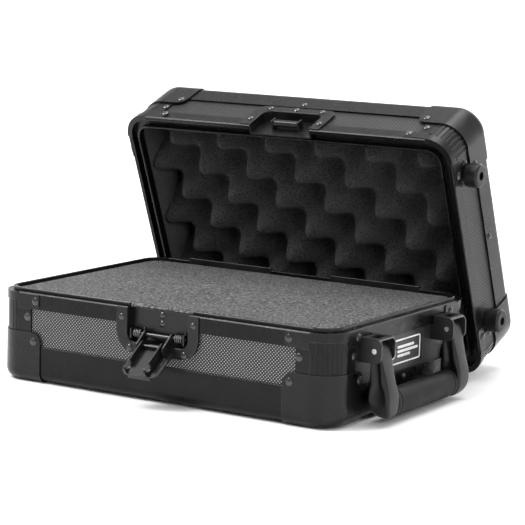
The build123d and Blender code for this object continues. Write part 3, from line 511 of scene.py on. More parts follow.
def frame_bead_part(middle, half_y, half_z, corner, width, rise):
    """Raised frame on a plate that faces +X: a low half-round bead carried round a rounded rectangle."""
    bead = np.linspace(0, math.pi, BEAD_STEPS)
    inset = np.concatenate([width / 2 * (1 - np.cos(bead)), [width, 0.0]])
    height = np.concatenate([rise * np.sin(bead) ** 0.5, [-BEAD_SINK, -BEAD_SINK]])
    rings = []
    for in_by, out_by in zip(inset, height):
        y, z = rounded_outline(half_y - in_by, half_z - in_by, corner - in_by, BEAD_AROUND)
        rings.append(np.stack(np.broadcast_arrays(middle[0] + out_by, middle[1] + y, middle[2] + z), axis=-1))
    return closed_loop(np.stack(rings)[::-1])


# ---- node helpers -------------------------------------------------------------------------
def feed(tree, socket, value):
    """Sets an input socket to a value, or links another node's output to it."""
    if isinstance(value, bpy.types.NodeSocket):
        tree.links.new(value, socket)
    else:
        socket.default_value = value


def put(tree, kind, sockets=None, **settings):
    """Adds a node; sockets maps input names or numbers to values or to other nodes' outputs."""
    node = tree.nodes.new(kind)
    for name, value in settings.items():
        setattr(node, name, value)
    for key, value in (sockets or {}).items():
        feed(tree, node.inputs[key], value)
    return node


def calc(tree, operation, a, b=0.0, c=0.0):
    """Output of one Math node."""
    inputs = {0: a, 1: b} if operation != "MULTIPLY_ADD" else {0: a, 1: b, 2: c}
    return put(tree, "ShaderNodeMath", inputs, operation=operation).outputs[0]


def noise(tree, place, scale, detail, roughness=0.5, distortion=0.0):
    """Output of one Noise texture."""
    sockets = {"Vector": place, "Scale": scale, "Detail": detail, "Roughness": roughness,
               "Distortion": distortion}
    return put(tree, "ShaderNodeTexNoise", sockets).outputs[0]


def blend_colours(tree, mask, first, second):
    """Colour that goes from first to second as the mask rises."""
    node = put(tree, "ShaderNodeMix", {0: mask}, data_type="RGBA")
    for key, value in ((6, first), (7, second)):
        feed(tree, node.inputs[key], value if isinstance(value, bpy.types.NodeSocket) else (*value, 1.0))
    return node.outputs[2]


def shade(colour, factor):
    """A colour made darker or paler."""
    return [channel * factor for channel in colour]


def remap(tree, value, from_low, from_high, to_low=0.0, to_high=1.0):
    """Linear change of range, clamped."""
    sockets = {0: value, 1: from_low, 2: from_high, 3: to_low, 4: to_high}
    return put(tree, "ShaderNodeMapRange", sockets).outputs[0]


def new_group(name, inputs, outputs):
    """Shader group with float or vector inputs as (name, type, default) and outputs as (name, type)."""
    tree = bpy.data.node_groups.new(name, "ShaderNodeTree")
    for label, kind, default in inputs:
        socket = tree.interface.new_socket(label, in_out="INPUT", socket_type=kind)
        if default is not None:
            socket.default_value = default
    for label, kind in outputs:
        tree.interface.new_socket(label, in_out="OUTPUT", socket_type=kind)
    return tree, put(tree, "NodeGroupInput").outputs, put(tree, "NodeGroupOutput").inputs


FLOAT = "NodeSocketFloat"
VECTOR = "NodeSocketVector"


def make_edge_wear_and_highlight():
    """Worn edges with a painted edge highlight: where a rounded-off copy of the surface turns away from the
    surface, broken by noise.
    """
    tree, given, result = new_group(
        "Edge wear and highlight", [("Vector", VECTOR, None), ("Radius", FLOAT, 0.001), ("Scale", FLOAT, 180.0),
                      ("Strength", FLOAT, 6.0)], [("Mask", FLOAT)])
    rounded = put(tree, "ShaderNodeBevel", {"Radius": given["Radius"]}, samples=4).outputs[0]
    plain = put(tree, "ShaderNodeNewGeometry").outputs["Normal"]
    dot = put(tree, "ShaderNodeVectorMath", {0: rounded, 1: plain}, operation="DOT_PRODUCT").outputs["Value"]
    turned = calc(tree, "MULTIPLY", calc(tree, "SUBTRACT", 1.0, dot), given["Strength"])
    broken = remap(tree, noise(tree, given["Vector"], given["Scale"], 4.0, 0.65), 0.38, 0.62, 0.15, 1.0)
    mask = put(tree, "ShaderNodeMath", {0: turned, 1: broken}, operation="MULTIPLY", use_clamp=True)
    tree.links.new(mask.outputs[0], result["Mask"])
    return tree


def make_grain():
    """Fine grain: two sizes of noise mixed, as a height for bump and a slow tone for colour and gloss."""
    tree, given, result = new_group(
        "Fine grain", [("Vector", VECTOR, None), ("Grain", FLOAT, 2500.0), ("Patch", FLOAT, 40.0)],
        [("Height", FLOAT), ("Tone", FLOAT)])
    fine = noise(tree, given["Vector"], given["Grain"], 2.0, 0.6)
    patch = noise(tree, given["Vector"], given["Patch"], 5.0, 0.6)
    tree.links.new(calc(tree, "MULTIPLY_ADD", patch, 0.3, fine), result["Height"])
    tree.links.new(remap(tree, patch, 0.3, 0.7), result["Tone"])
    return tree


def make_dust():
    """Dust and handling marks: a sparse speckle over slow smears, as one mask."""
    tree, given, result = new_group(
        "Dust and smears", [("Vector", VECTOR, None), ("Amount", FLOAT, 0.3)], [("Mask", FLOAT)])
    specks = remap(tree, noise(tree, given["Vector"], 900.0, 3.0), 0.62, 0.74)
    smears = remap(tree, noise(tree, given["Vector"], 22.0, 4.0, distortion=0.8), 0.45, 0.75)
    both = calc(tree, "MULTIPLY_ADD", specks, 0.6, calc(tree, "MULTIPLY", smears, 0.5))
    tree.links.new(calc(tree, "MULTIPLY", both, given["Amount"]), result["Mask"])
    return tree


def make_diamonds():
    """Pressed diamond pattern: on a lattice at 45 degrees a small diamond stands in each cell.

    With a = (x + y) / pitch and b = (x - y) / pitch, each wrapped to -0.5 to 0.5, the mask is high where the
    larger of |a| and |b| is below the dot size.
    """
    tree, given, result = new_group(
        "Diamond pattern", [("Across", FLOAT, 0.0), ("Up", FLOAT, 0.0), ("Pitch", FLOAT, 0.0036),
                            ("Dot", FLOAT, 0.32)], [("Mask", FLOAT), ("Height", FLOAT)])
    sides = []
    for operation in ("ADD", "SUBTRACT"):
        line = calc(tree, "DIVIDE", calc(tree, operation, given["Across"], given["Up"]), given["Pitch"])
        wrapped = calc(tree, "SUBTRACT", calc(tree, "FRACT", line), 0.5)
        sides.append(calc(tree, "ABSOLUTE", wrapped))
    far = calc(tree, "MAXIMUM", sides[0], sides[1])
    edge = calc(tree, "SUBTRACT", given["Dot"], far)
    tree.links.new(remap(tree, edge, -0.05, 0.05), result["Mask"])
    tree.links.new(remap(tree, edge, -0.12, 0.12), result["Height"])
    return tree


GROUP_MAKERS = {"edge wear and highlight": make_edge_wear_and_highlight, "grain": make_grain, "dust": make_dust,
                "diamonds": make_diamonds}
GROUPS = {}


def group_node(tree, name, sockets):
    """Places one of the shared groups, building it the first time."""
    if name not in GROUPS:
        GROUPS[name] = GROUP_MAKERS[name]()
    return put(tree, "ShaderNodeGroup", sockets, node_tree=GROUPS[name]).outputs


def new_material(name):
    """Material with its tree, Principled shader and object coordinates."""
    material = bpy.data.materials.new(name)
    material.use_nodes = True
    tree = material.node_tree
    tree.nodes.clear()
    shader = put(tree, "ShaderNodeBsdfPrincipled")
    out = put(tree, "ShaderNodeOutputMaterial")
    tree.links.new(shader.outputs[0], out.inputs["Surface"])
    place = put(tree, "ShaderNodeTexCoord").outputs["Object"]
    return material, tree, shader, place


def bump(tree, shader, height, strength, distance):
    """Sends a height through a Bump node to the shader's Normal."""
    node = put(tree, "ShaderNodeBump", {"Height": height, "Strength": strength, "Distance": distance})
    tree.links.new(node.outputs[0], shader.inputs["Normal"])


WEAR_AND_HIGHLIGHT_RADIUS = 0.0008          # how far from an edge the wear and painted highlight reach, in metres
SCUFFED_HIGHLIT = (0.05, 0.05, 0.05)  # worn edges of plastic and rubber, dark steel and bright steel, also painted as edge highlights
DULL_STEEL = (0.3, 0.3, 0.3)
BRIGHT_STEEL = (0.6, 0.6, 0.6)


def hard_finish(name, colour, worn, rough, metal, grain=2500.0, depth=0.00004, wear=5.0, dust=0.25,
                specular=0.5):
    """Metal, paint, plastic or rubber with grain, worn edges that also carry a painted edge highlight, and a
    little dust.
    """
    material, tree, shader, place = new_material(name)
    height, tone = group_node(tree, "grain", {"Vector": place, "Grain": grain, "Patch": 45.0})[:2]
    edge = group_node(tree, "edge wear and highlight", {"Vector": place, "Radius": WEAR_AND_HIGHLIGHT_RADIUS, "Strength": wear})[0]
    dusty = group_node(tree, "dust", {"Vector": place, "Amount": dust})[0]
    toned = blend_colours(tree, tone, shade(colour, 0.8), shade(colour, 1.25))
    # Edges go toward the worn colour: real wear, and also a painted highlight along the edges.
    worn_and_highlit = blend_colours(tree, edge, toned, worn)
    pale = [min(1.0, 0.025 + c * 1.5) for c in colour]
    tree.links.new(blend_colours(tree, dusty, worn_and_highlit, pale), shader.inputs["Base Color"])
    glossy = calc(tree, "MULTIPLY_ADD", tone, 0.12, rough - 0.06)
    glossy = calc(tree, "MULTIPLY_ADD", edge, -0.12, glossy)
    tree.links.new(calc(tree, "MULTIPLY_ADD", dusty, 0.3, glossy), shader.inputs["Roughness"])
    shader.inputs["Metallic"].default_value = metal
    shader.inputs["Specular IOR Level"].default_value = specular
    bump(tree, shader, height, 0.5, depth)
    return material


PLANES = {"front": ("X", "Z"), "top": ("X", "Y"), "side": ("Y", "Z")}
PANEL_DUST = (0.14, 0.14, 0.14)


def panel_finish(name, plane, turn, dot_colour, ground_colour, pitch, dot):
    """Laminate with a pressed diamond pattern, laid in one plane of the case or of the leaning lid."""
    material, tree, shader, place = new_material(name)
    turned = put(tree, "ShaderNodeMapping", {"Vector": place, "Rotation": (turn, 0.0, 0.0)}).outputs[0]
    split = put(tree, "ShaderNodeSeparateXYZ", {0: turned}).outputs
    across, up = PLANES[plane]
    mask, height = group_node(tree, "diamonds", {"Across": split[across], "Up": split[up], "Pitch": pitch,
                                                 "Dot": dot})[:2]
    fine, tone = group_node(tree, "grain", {"Vector": place, "Grain": 3000.0, "Patch": 30.0})[:2]
    dusty = group_node(tree, "dust", {"Vector": place, "Amount": 0.08})[0]
    bright = blend_colours(tree, tone, shade(dot_colour, 0.94), shade(dot_colour, 1.06))
    pattern = blend_colours(tree, mask, ground_colour, bright)
    tree.links.new(blend_colours(tree, dusty, pattern, PANEL_DUST), shader.inputs["Base Color"])
    tree.links.new(calc(tree, "MULTIPLY", mask, 0.75), shader.inputs["Metallic"])
    tree.links.new(remap(tree, mask, 0.0, 1.0, 0.55, 0.38), shader.inputs["Roughness"])
    bump(tree, shader, calc(tree, "MULTIPLY_ADD", fine, 0.1, height), 0.6, 0.0002)
    return material


def foam_finish(name, colour, cell, contrast, depth):
    """Open-cell foam: painted shade in dark pores and painted light on paler cell walls, with slow random
    tone changes and a dusty sheen.
    """
    material, tree, shader, place = new_material(name)
    cells = put(tree, "ShaderNodeTexVoronoi", {"Vector": place, "Scale": 1.0 / cell}).outputs["Distance"]
    fine = noise(tree, place, 1.0 / cell, 3.0, 0.7)
    slow = noise(tree, place, 14.0, 3.0)
    # Voronoi cells and a near-binary speckle run the colour from dark to pale: painted shade in the pores and
    # painted light on the cell walls.
    pore_shade = remap(tree, cells, 0.2, 0.7, 1.0, 0.0)
    speck_and_pore_shade = calc(tree, "MULTIPLY_ADD", remap(tree, fine, 0.43, 0.57), 0.7, calc(tree, "MULTIPLY", pore_shade, 0.3))
    level = calc(tree, "MULTIPLY_ADD", remap(tree, slow, 0.3, 0.7), 0.1, speck_and_pore_shade)
    # The speckle's range, from painted pore shade to painted light on the walls.
    dark, light = shade(colour, 1 - contrast), shade(colour, 1 + 1.9 * contrast)
    tree.links.new(blend_colours(tree, level, dark, light), shader.inputs["Base Color"])
    shader.inputs["Roughness"].default_value = 0.95
    shader.inputs["Specular IOR Level"].default_value = 0.2
    shader.inputs["Sheen Weight"].default_value = 0.12
    shader.inputs["Sheen Roughness"].default_value = 0.6
    bump(tree, shader, speck_and_pore_shade, 0.9, depth)
    return material


# ---- settings -----------------------------------------------------------------------------
def colour_property(name, description, default):
    """Colour setting in linear values."""
    return FloatVectorProperty(name=name, description=description, default=default, subtype="COLOR",
                               size=3, min=0.0, max=1.0)


def length_property(name, description, default):
    """Length setting in metres."""
    return FloatProperty(name=name, description=description, default=default, unit="LENGTH",
                         subtype="DISTANCE", min=0.0)


class CaseSoftSettings(bpy.types.PropertyGroup):
    """Sizes of the foams and the lining"""

    crown: length_property("Base foam crown", "Rise of the base foam's middle over its edge", 0.0016)
    edge: length_property("Base foam edge", "Radius of the base foam's top edge", 0.0025)
    lining: length_property("Lining thickness", "Thickness of the lid's lining", 0.002)
    lining_mouth: length_property("Lining edge", "Lining's edge below the lid's mouth", 0.0098)
    lining_back: length_property("Lining back", "Lining's hidden edge below the lid's mouth", 0.067)
    base_cell: length_property("Base foam cell", "Size of the base foam's cells", 0.0029)
    lid_cell: length_property("Lid foam cell", "Size of the lid foam's cells", 0.0017)


class CaseFittingSettings(bpy.types.PropertyGroup):
    """Sizes of the small fittings"""

    wire: length_property("Spring wire", "Radius of the latch springs' wire", 0.0007)
    turns: IntProperty(name="Spring turns", description="Turns of each latch spring", default=4, min=2,
                       max=12)
    leg: length_property("Spring leg", "Length of each straight end of a spring", 0.0062)
    bore: length_property("Grip bore", "Radius of the bore in the handle's grip", 0.007)
    screw: length_property("Screw head", "Radius of the screw heads in the feet", 0.0041)
    screw_rise: length_property("Screw head height", "Height of the screw heads", 0.003)


class CaseColourSettings(bpy.types.PropertyGroup):
    """Colours of the case"""

    rail: colour_property("Rail", "Black anodised rails", (0.0055, 0.0055, 0.006))
    corner: colour_property("Corner", "Black corner steel", (0.0045, 0.0045, 0.005))
    post: colour_property("Post", "Fluted corner posts", (0.005, 0.005, 0.0055))
    # Worn edge colour: metal at worn edges, also serving as a painted edge highlight.
    worn_highlit_edge: colour_property("Worn edge", "Metal that shows at worn edges", (0.09, 0.09, 0.095))
    # The long panels' dots are a lit copy of the laminate, painted pale as reflected light; the side and lid
    # panels' dots are its shaded copy.
    dots: colour_property("Panel dots", "Diamonds of the base's long panels", (0.42, 0.42, 0.43))
    shaded_dots: colour_property("Side panel dots", "Diamonds of the side and lid panels", (0.075, 0.075, 0.08))
    ground: colour_property("Panel ground", "Ground between the diamonds", (0.003, 0.003, 0.0033))
    rivet: colour_property("Rivet", "Rivet heads", (0.07, 0.07, 0.074))
    moulding: colour_property("Moulding", "Moulded handle parts", (0.005, 0.005, 0.0053))
    rubber: colour_property("Rubber", "Feet and grip", (0.0035, 0.0035, 0.0037))
    base_foam: colour_property("Base foam", "Mid grey foam", (0.068, 0.068, 0.07))
    lid_foam: colour_property("Lid foam", "Dark grey foam", (0.022, 0.022, 0.023))
    badge: colour_property("Badge", "Ground of the badge", (0.012, 0.012, 0.013))
    mark: colour_property("Badge mark", "Pale print on the badge", (0.75, 0.75, 0.75))
    floor: colour_property("Floor", "Floor and backdrop", (0.93, 0.93, 0.93))


class CaseCameraSettings(bpy.types.PropertyGroup):
    """Place of the camera"""

    aim: FloatVectorProperty(name="Aim", description="Point on the camera's axis", subtype="TRANSLATION",
                             unit="LENGTH", size=3, default=(0.2025, -0.2715, 0.1761))
    distance: length_property("Distance", "Camera's distance from the aim point", 1.8269)
    azimuth: FloatProperty(name="Azimuth", description="Turn from the front towards the right",
                           subtype="ANGLE", default=math.radians(32.02))
    elevation: FloatProperty(name="Elevation", description="Height angle over the floor", subtype="ANGLE",
                             default=math.radians(8.83))
    roll: FloatProperty(name="Roll", description="Turn about the camera's axis", subtype="ANGLE",
                        default=math.radians(1.53))
    lens: FloatProperty(name="Lens", description="Focal length on a 36 mm sensor", subtype="DISTANCE_CAMERA",
                        default=144.3, min=10.0)


# ---- operators ----------------------------------------------------------------------------
class CARRYCASE_OT_base_foam(bpy.types.Operator):
    """Fill the base with its crowned foam block"""

    bl_idname = "carry_case.base_foam"
    bl_label = "Base foam"

    def execute(self, context):
        soft, colours = context.scene.case_soft, context.scene.case_colours
        finish = foam_finish("Base foam", colours.base_foam, soft.base_cell, 0.97, 0.0030)
        piece = add_piece("base_foam_block", base_foam_part(soft.crown, soft.edge), finish, "base")
        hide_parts("base_foam")
        return {"FINISHED"}


class CARRYCASE_OT_lid_foam(bpy.types.Operator):
    """Lay the egg-crate foam in the lid"""

    bl_idname = "carry_case.lid_foam"
    bl_label = "Lid foam"

    def execute(self, context):
        soft, colours = context.scene.case_soft, context.scene.case_colours
        finish = foam_finish("Lid foam", colours.lid_foam, soft.lid_cell, 0.95, 0.0018)
        piece = add_piece("lid_egg_crate", lid_foam_part(), finish, "lid")
        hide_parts("lid_foam")
        return {"FINISHED"}


class CARRYCASE_OT_lining(bpy.types.Operator):
    """Line the lid's inner walls"""

    bl_idname = "carry_case.lining"
    bl_label = "Lid lining"

    def execute(self, context):
        soft, colours = context.scene.case_soft, context.scene.case_colours
        tone = [c * 1.7 for c in colours.lid_foam]
        finish = foam_finish("Lid lining", tone, soft.lid_cell, 0.35, 0.0004)
        part = lining_part(soft.lining, soft.lining_mouth, soft.lining_back)
        piece = add_piece("lid_lining_band", part, finish, "lid")
        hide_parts("lid_lining")
        return {"FINISHED"}


class CARRYCASE_OT_springs(bpy.types.Operator):
    """Wind the two torsion springs on the latch's pin"""

    bl_idname = "carry_case.springs"
    bl_label = "Latch springs"

    def execute(self, context):
        sizes = context.scene.case_fittings
        wire = hard_finish("Spring wire", (0.12, 0.12, 0.125), DULL_STEEL, 0.34, 1.0, 3000.0, 0.00002)
        for side in ("left", "right"):
            low, high = as_arrays(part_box(f"latch_spring_{side}"))
            part = coil_part(low, high, sizes.wire, sizes.turns, sizes.leg)
            piece = add_piece(f"latch_coil_{side}", part, wire, "base")
            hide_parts(f"latch_spring_{side}")
        return {"FINISHED"}


class CARRYCASE_OT_handle(bpy.types.Operator):
    """Mould the handle's arms and core bar"""

    bl_idname = "carry_case.handle"
    bl_label = "Handle"

    def execute(self, context):
        colours = context.scene.case_colours
        finish = hard_finish("Moulded handle", colours.moulding, SCUFFED_HIGHLIT, 0.36, 0.0, 1600.0, 0.00006, 2.0,
                             dust=0.12, specular=0.3)
        core = context.scene.case_fittings.bore - CORE_PLAY
        part = handle_part(*as_arrays(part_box("handle_frame")), *as_arrays(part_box("handle_grip")), core)
        piece = add_piece("handle_moulding", part, finish, "handle")
        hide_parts("handle_frame")
        return {"FINISHED"}


class CARRYCASE_OT_grip(bpy.types.Operator):
    """Slide the grip on the handle"""

    bl_idname = "carry_case.grip"
    bl_label = "Handle grip"

    def execute(self, context):
        colours = context.scene.case_colours
        finish = hard_finish("Grip rubber", colours.rubber, SCUFFED_HIGHLIT, 0.5, 0.0, 2200.0, 0.00008, 2.0,
                             dust=0.08, specular=0.14)
        part = grip_part(*as_arrays(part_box("handle_grip")), context.scene.case_fittings.bore)
        piece = add_piece("handle_grip_sleeve", part, finish, "handle")
        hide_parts("handle_grip")
        return {"FINISHED"}


FOOT_R = 12.5 * MM
FOOT_WELL = 10.2 * MM         # screw seat below the foot's outer face
FOOT_LINES = (("lid_feet", "lid", LID_UP), ("base_feet", "base", np.array([0.0, 1.0, 0.0])))
SIDE_REACH = 0.1              # a node whose box ends nearer to the middle than this has no feet on that side


def foot_screw_seats(low, high, along):
    """Seat and outward axis of each foot's screw: two feet on a side, equally far from the middle.

    Along is the direction from foot to foot. The node's box ends one foot's radius past their middles.
    """
    leaning = abs(along[2]) > 0.5
    half_span = ((high - low)[2] / 2 - FOOT_R) / along[2] if leaning else (high - low)[1] / 2 - FOOT_R
    middle = (low + high) / 2
    faces = [(side, face) for side, face in ((-1, low[0]), (1, high[0])) if side * face > SIDE_REACH]
    seats = []
    for side, face in faces:
        for end in (-1, 1):
            spot = middle + end * half_span * along
            seat = np.array([face - side * FOOT_WELL, spot[1], spot[2]])
            seats.append((seat, np.array([side, 0.0, 0.0])))
    return seats


class CARRYCASE_OT_screws(bpy.types.Operator):
    """Put a screw in each rubber foot"""

    bl_idname = "carry_case.screws"
    bl_label = "Foot screws"

    def execute(self, context):
        sizes = context.scene.case_fittings
        finish = hard_finish("Screw steel", (0.3, 0.3, 0.31), BRIGHT_STEEL, 0.35, 1.0, 3000.0, 0.00002)
        for node, body, along in FOOT_LINES:
            parts = [screw_part(base, axis, sizes.screw, sizes.screw_rise)
                     for base, axis in foot_screw_seats(*as_arrays(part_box(node)), along)]
            add_piece(f"{node}_screws", join_parts(parts), finish, body)
        return {"FINISHED"}


BADGE_SINK = 0.5 * MM         # depth of the plate's field below its rim
BADGE_FRAME = (6.0 * MM, 5.4 * MM)      # from the plate's edges to the raised frame
BADGE_BARS = ((4.4, 17.0), (0.0, 21.0), (-4.4, 13.0))         # height and half length of each bar, in mm
BADGE_BAR_START = -10.0       # left end of the bars from the plate's middle, in mm
BADGE_RING_AT = 20.0 * MM     # ring's middle, left of the plate's


class CARRYCASE_OT_badge(bpy.types.Operator):
    """Raise a plain frame and a ring-and-bars mark on the badge"""

    bl_idname = "carry_case.badge"
    bl_label = "Badge"

    def execute(self, context):
        colours = context.scene.case_colours
        low, high = as_arrays(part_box("badge_plate"))
        half = (high - low) / 2
        face = np.array([high[0] - BADGE_SINK, *(low + half)[1:]])
        ink = hard_finish("Badge print", colours.mark, (0.5, 0.5, 0.5), 0.4, 0.0, 2600.0, 0.00002, 1.0)
        frame_y, frame_z = half[1] - BADGE_FRAME[0], half[2] - BADGE_FRAME[1]
        ring = face - np.array([0, BADGE_RING_AT, 0])
        parts = [frame_bead_part(face, frame_y, frame_z, corner=2.2 * MM, width=1.6 * MM, rise=0.35 * MM),
                 frame_bead_part(ring, 6.5 * MM, 6.5 * MM, corner=6.4 * MM, width=2.2 * MM, rise=0.4 * MM)]
        for row, length in BADGE_BARS:
            bar = face + np.array([0, (length + BADGE_BAR_START) * MM, row * MM])
            parts.append(frame_bead_part(bar, length * MM, 1.3 * MM, corner=1.25 * MM, width=1.2 * MM,
                                         rise=0.4 * MM))
        add_piece("badge_relief", join_parts(parts), ink, "base")
        return {"FINISHED"}


LATCH_PINS = ("latch_pivot_pin", "latch_hook_pin")
# Panels given the lit, pale copy of the diamond dots; the others get the shaded, dark copy.
LIT_PANELS = ("base_front_panel", "base_back_panel")
LIT_PANEL_PITCH = 0.0036           # distance between diamonds, in metres
SHADED_PANEL_PITCH = 0.0042
DOT_SIZE = 0.2                # of a diamond in its cell


class CARRYCASE_OT_finishes(bpy.types.Operator):
    """Give every piece of the frame its finish"""

    bl_idname = "carry_case.finishes"
    bl_label = "Finishes"

    def execute(self, context):
        colours = context.scene.case_colours
        worn_highlit_edge = colours.worn_highlit_edge
        rows = {              # label, colour, worn and highlit edge, roughness, metallic, grain, grain depth, strength of worn and highlit edges
            "rail": ("Rail, satin black", colours.rail, worn_highlit_edge, 0.29, 0.7, 1800.0, 0.00003, 5.0),
            "corner": ("Corner steel, black", colours.corner, worn_highlit_edge, 0.3, 0.5, 1500.0, 0.00004, 4.0),
            "post": ("Corner post, black", colours.post, worn_highlit_edge, 0.32, 0.6, 1800.0, 0.00003, 3.0),
            "rivet": ("Rivet, dull steel", colours.rivet, DULL_STEEL, 0.3, 0.9, 2500.0, 0.00002, 5.0),
            "black_steel": ("Latch steel, black", (0.018, 0.018, 0.019), worn_highlit_edge, 0.33, 0.7, 2000.0,
                            0.00003, 6.0),
            "bright_steel": ("Pin steel, bright", (0.5, 0.5, 0.52), (0.7, 0.7, 0.7), 0.25, 1.0, 2500.0,
                             0.00002, 5.0),
            "dark_pin": ("Latch pin, dark steel", (0.07, 0.07, 0.073), DULL_STEEL, 0.33, 1.0, 2500.0,
                         0.00002, 5.0),
            "spring": ("Spring sleeve", (0.35, 0.35, 0.36), BRIGHT_STEEL, 0.32, 1.0, 2500.0, 0.00004, 5.0),
            "moulding": ("Moulded black", colours.moulding, SCUFFED_HIGHLIT, 0.42, 0.0, 1600.0, 0.00008, 2.0),
            "badge": ("Badge plate", colours.badge, (0.1, 0.1, 0.1), 0.35, 0.0, 2600.0, 0.00002, 2.0),
        }
        finishes = {slot: hard_finish(*row) for slot, row in rows.items()}
        finishes["rubber"] = hard_finish("Foot rubber", colours.rubber, (0.04, 0.04, 0.04), 0.45, 0.0, 1500.0,
                                         0.00009, 2.0, dust=0.12, specular=0.35)
        for soft in ("foam", "lid_foam", "lining"):
            finishes[soft] = foam_finish(f"Plain {soft}", colours.lid_foam, 0.001, 0.4, 0.0004)
        for piece in frame["record"]["subparts"]:
            name, slot = piece["node"], piece["material_slot"]
            if slot == "panel":
                finish = self.panel(name, colours)
            else:
                finish = finishes["dark_pin" if name in LATCH_PINS else slot]
            for holder in frame["nodes"][name].material_slots:
                holder.material = finish
        return {"FINISHED"}

    def panel(self, name, colours):
        """Panel finish laid in the panel's own plane.

        The lid's pattern is turned by its lean, which stands its top up and lays its front and back level.
        """
        of_lid = name.startswith("lid")
        upright = "top" if of_lid else "front"
        plane = {"front": upright, "back": upright, "left": "side", "right": "side", "top": "front",
                 "bottom": "top"}
        turn = LEAN - math.pi / 2 if of_lid else 0.0
        # Pale dots for the long panels and dark dots for the rest: painted light and shade on one laminate.
        pale = name in LIT_PANELS
        dots, pitch = (colours.dots, LIT_PANEL_PITCH) if pale else (colours.shaded_dots, SHADED_PANEL_PITCH)
        return panel_finish(name.replace("_", " "), plane[name.split("_")[1]], turn, dots, colours.ground,
                            pitch, DOT_SIZE)


LIGHTS = (                    # name, place, point it faces, side of the square, power
    ("key", (-1.3, -1.0, 2.2), (0.0, 0.05, 0.12), 1.2, 70.0),
    ("fill", (2.4, -1.4, 1.3), (0.1, 0.0, 0.1), 1.4, 24.0),
    ("top", (0.2, 0.5, 2.3), (0.0, 0.05, 0.1), 1.5, 42.0),
    ("backdrop", (0.0, 1.8, 1.6), (-1.0, 5.0, 0.6), 2.0, 90.0),
)
WORLD_STRENGTH = 0.55
SENSOR_WIDTH = 36.0           # in mm
BEND_STEPS = 24               # points on the backdrop's quarter circle


def backdrop_part(floor_z, half_width, front, back, height, bend):
    """Floor and backdrop: a flat run, a quarter circle and an upright run, carried straight along X."""
    turn = np.linspace(0, math.pi / 2, BEND_STEPS)
    y = np.concatenate([[front], back - bend + bend * np.sin(turn), [back]])
    z = np.concatenate([[floor_z], floor_z + bend * (1 - np.cos(turn)), [height]])
    x = np.array([-half_width, half_width])
    points = np.stack(np.broadcast_arrays(x[None, :], y[:, None], z[:, None]), axis=-1).reshape(-1, 3)
    quads = grid_quads(len(y), 2, close_columns=False)
    return points, quads[:, ::-1], NO_TRIANGLES


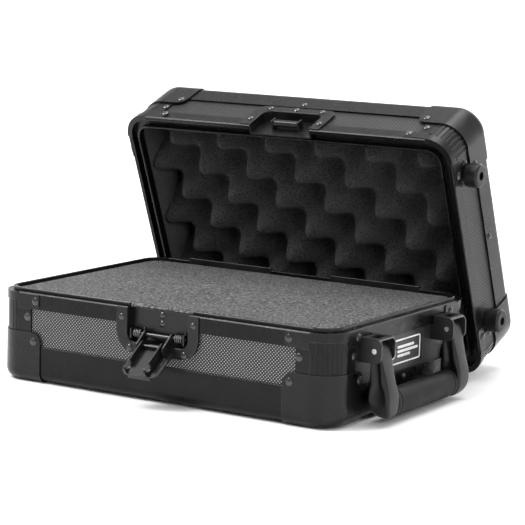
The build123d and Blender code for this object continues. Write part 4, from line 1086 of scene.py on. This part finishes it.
class CARRYCASE_OT_stage(bpy.types.Operator):
    """Set up the floor, the lights and the camera"""

    bl_idname = "carry_case.stage"
    bl_label = "Stage"

    def execute(self, context):
        colours = context.scene.case_colours
        material, tree, shader, place = new_material("Studio floor")
        paler = [min(1.0, c * 1.015) for c in colours.floor]
        cloudy = blend_colours(tree, noise(tree, place, 6.0, 4.0), shade(colours.floor, 0.985), paler)
        tree.links.new(cloudy, shader.inputs["Base Color"])
        shader.inputs["Roughness"].default_value = 0.6
        part = backdrop_part(FLOOR_Z, half_width=6.0, front=-5.0, back=3.2, height=5.0, bend=0.8)
        floor = add_piece("studio_floor", part, material, None)
        for row in LIGHTS:
            self.light(*row)
        world = bpy.data.worlds.new("Studio")
        world.use_nodes = True
        background = world.node_tree.nodes["Background"]
        background.inputs["Color"].default_value = (1.0, 1.0, 1.0, 1.0)
        background.inputs["Strength"].default_value = WORLD_STRENGTH
        context.scene.world = world
        context.scene.view_settings.view_transform = "Standard"
        self.camera(context)
        return {"FINISHED"}

    def light(self, name, place, target, size, power):
        """Square soft light that faces a point."""
        lamp = bpy.data.lights.new(name, "AREA")
        lamp.size = size
        lamp.energy = power
        holder = bpy.data.objects.new(name, lamp)
        bpy.context.scene.collection.objects.link(holder)
        holder.location = place
        aim = Vector(target) - Vector(place)
        holder.rotation_euler = aim.to_track_quat("-Z", "Y").to_euler()

    def camera(self, context):
        """Camera on the line from the aim point, turned about that line by the roll."""
        view = context.scene.case_camera
        away = Vector((math.sin(view.azimuth) * math.cos(view.elevation),
                       -math.cos(view.azimuth) * math.cos(view.elevation), math.sin(view.elevation)))
        level = Vector((math.cos(view.azimuth), math.sin(view.azimuth), 0.0))
        upright = away.cross(level)
        right = math.cos(view.roll) * level + math.sin(view.roll) * upright
        up = away.cross(right)
        matrix = Matrix((right, up, away)).transposed().to_4x4()
        matrix.translation = Vector(view.aim) + away * view.distance
        lens = bpy.data.cameras.new("camera")
        lens.sensor_width = SENSOR_WIDTH
        lens.lens = view.lens
        holder = bpy.data.objects.new("camera", lens)
        context.scene.collection.objects.link(holder)
        holder.matrix_world = matrix
        context.scene.camera = holder


class CARRYCASE_PT_sidebar(bpy.types.Panel):
    """Lists the pieces and settings of the carry case"""

    bl_idname = "CARRYCASE_PT_sidebar"
    bl_label = "Carry case"
    bl_space_type = "VIEW_3D"
    bl_region_type = "UI"
    bl_category = "Carry Case"

    def draw(self, context):
        layout = self.layout
        for operator in OPERATORS:
            layout.operator(operator.bl_idname)
        for settings in (context.scene.case_soft, context.scene.case_fittings, context.scene.case_colours,
                         context.scene.case_camera):
            box = layout.box()
            for name in settings.__annotations__:
                box.prop(settings, name)


SETTINGS = {"case_soft": CaseSoftSettings, "case_fittings": CaseFittingSettings,
            "case_colours": CaseColourSettings, "case_camera": CaseCameraSettings}
OPERATORS = (CARRYCASE_OT_finishes, CARRYCASE_OT_base_foam, CARRYCASE_OT_lid_foam, CARRYCASE_OT_lining,
             CARRYCASE_OT_springs, CARRYCASE_OT_handle, CARRYCASE_OT_grip, CARRYCASE_OT_screws,
             CARRYCASE_OT_badge, CARRYCASE_OT_stage)
CLASSES = tuple(SETTINGS.values()) + OPERATORS + (CARRYCASE_PT_sidebar,)


def register():
    """Registers the classes and puts their settings on the scene."""
    for item in CLASSES:
        bpy.utils.register_class(item)
    for name, settings in SETTINGS.items():
        setattr(bpy.types.Scene, name, PointerProperty(type=settings))


def unregister():
    """Takes the settings and classes away again."""
    for name in SETTINGS:
        delattr(bpy.types.Scene, name)
    for item in reversed(CLASSES):
        bpy.utils.unregister_class(item)


def main():
    register()
    for operator in OPERATORS:
        group, name = operator.bl_idname.split(".")
        getattr(getattr(bpy.ops, group), name)()


if __name__ == "__main__":
    main()
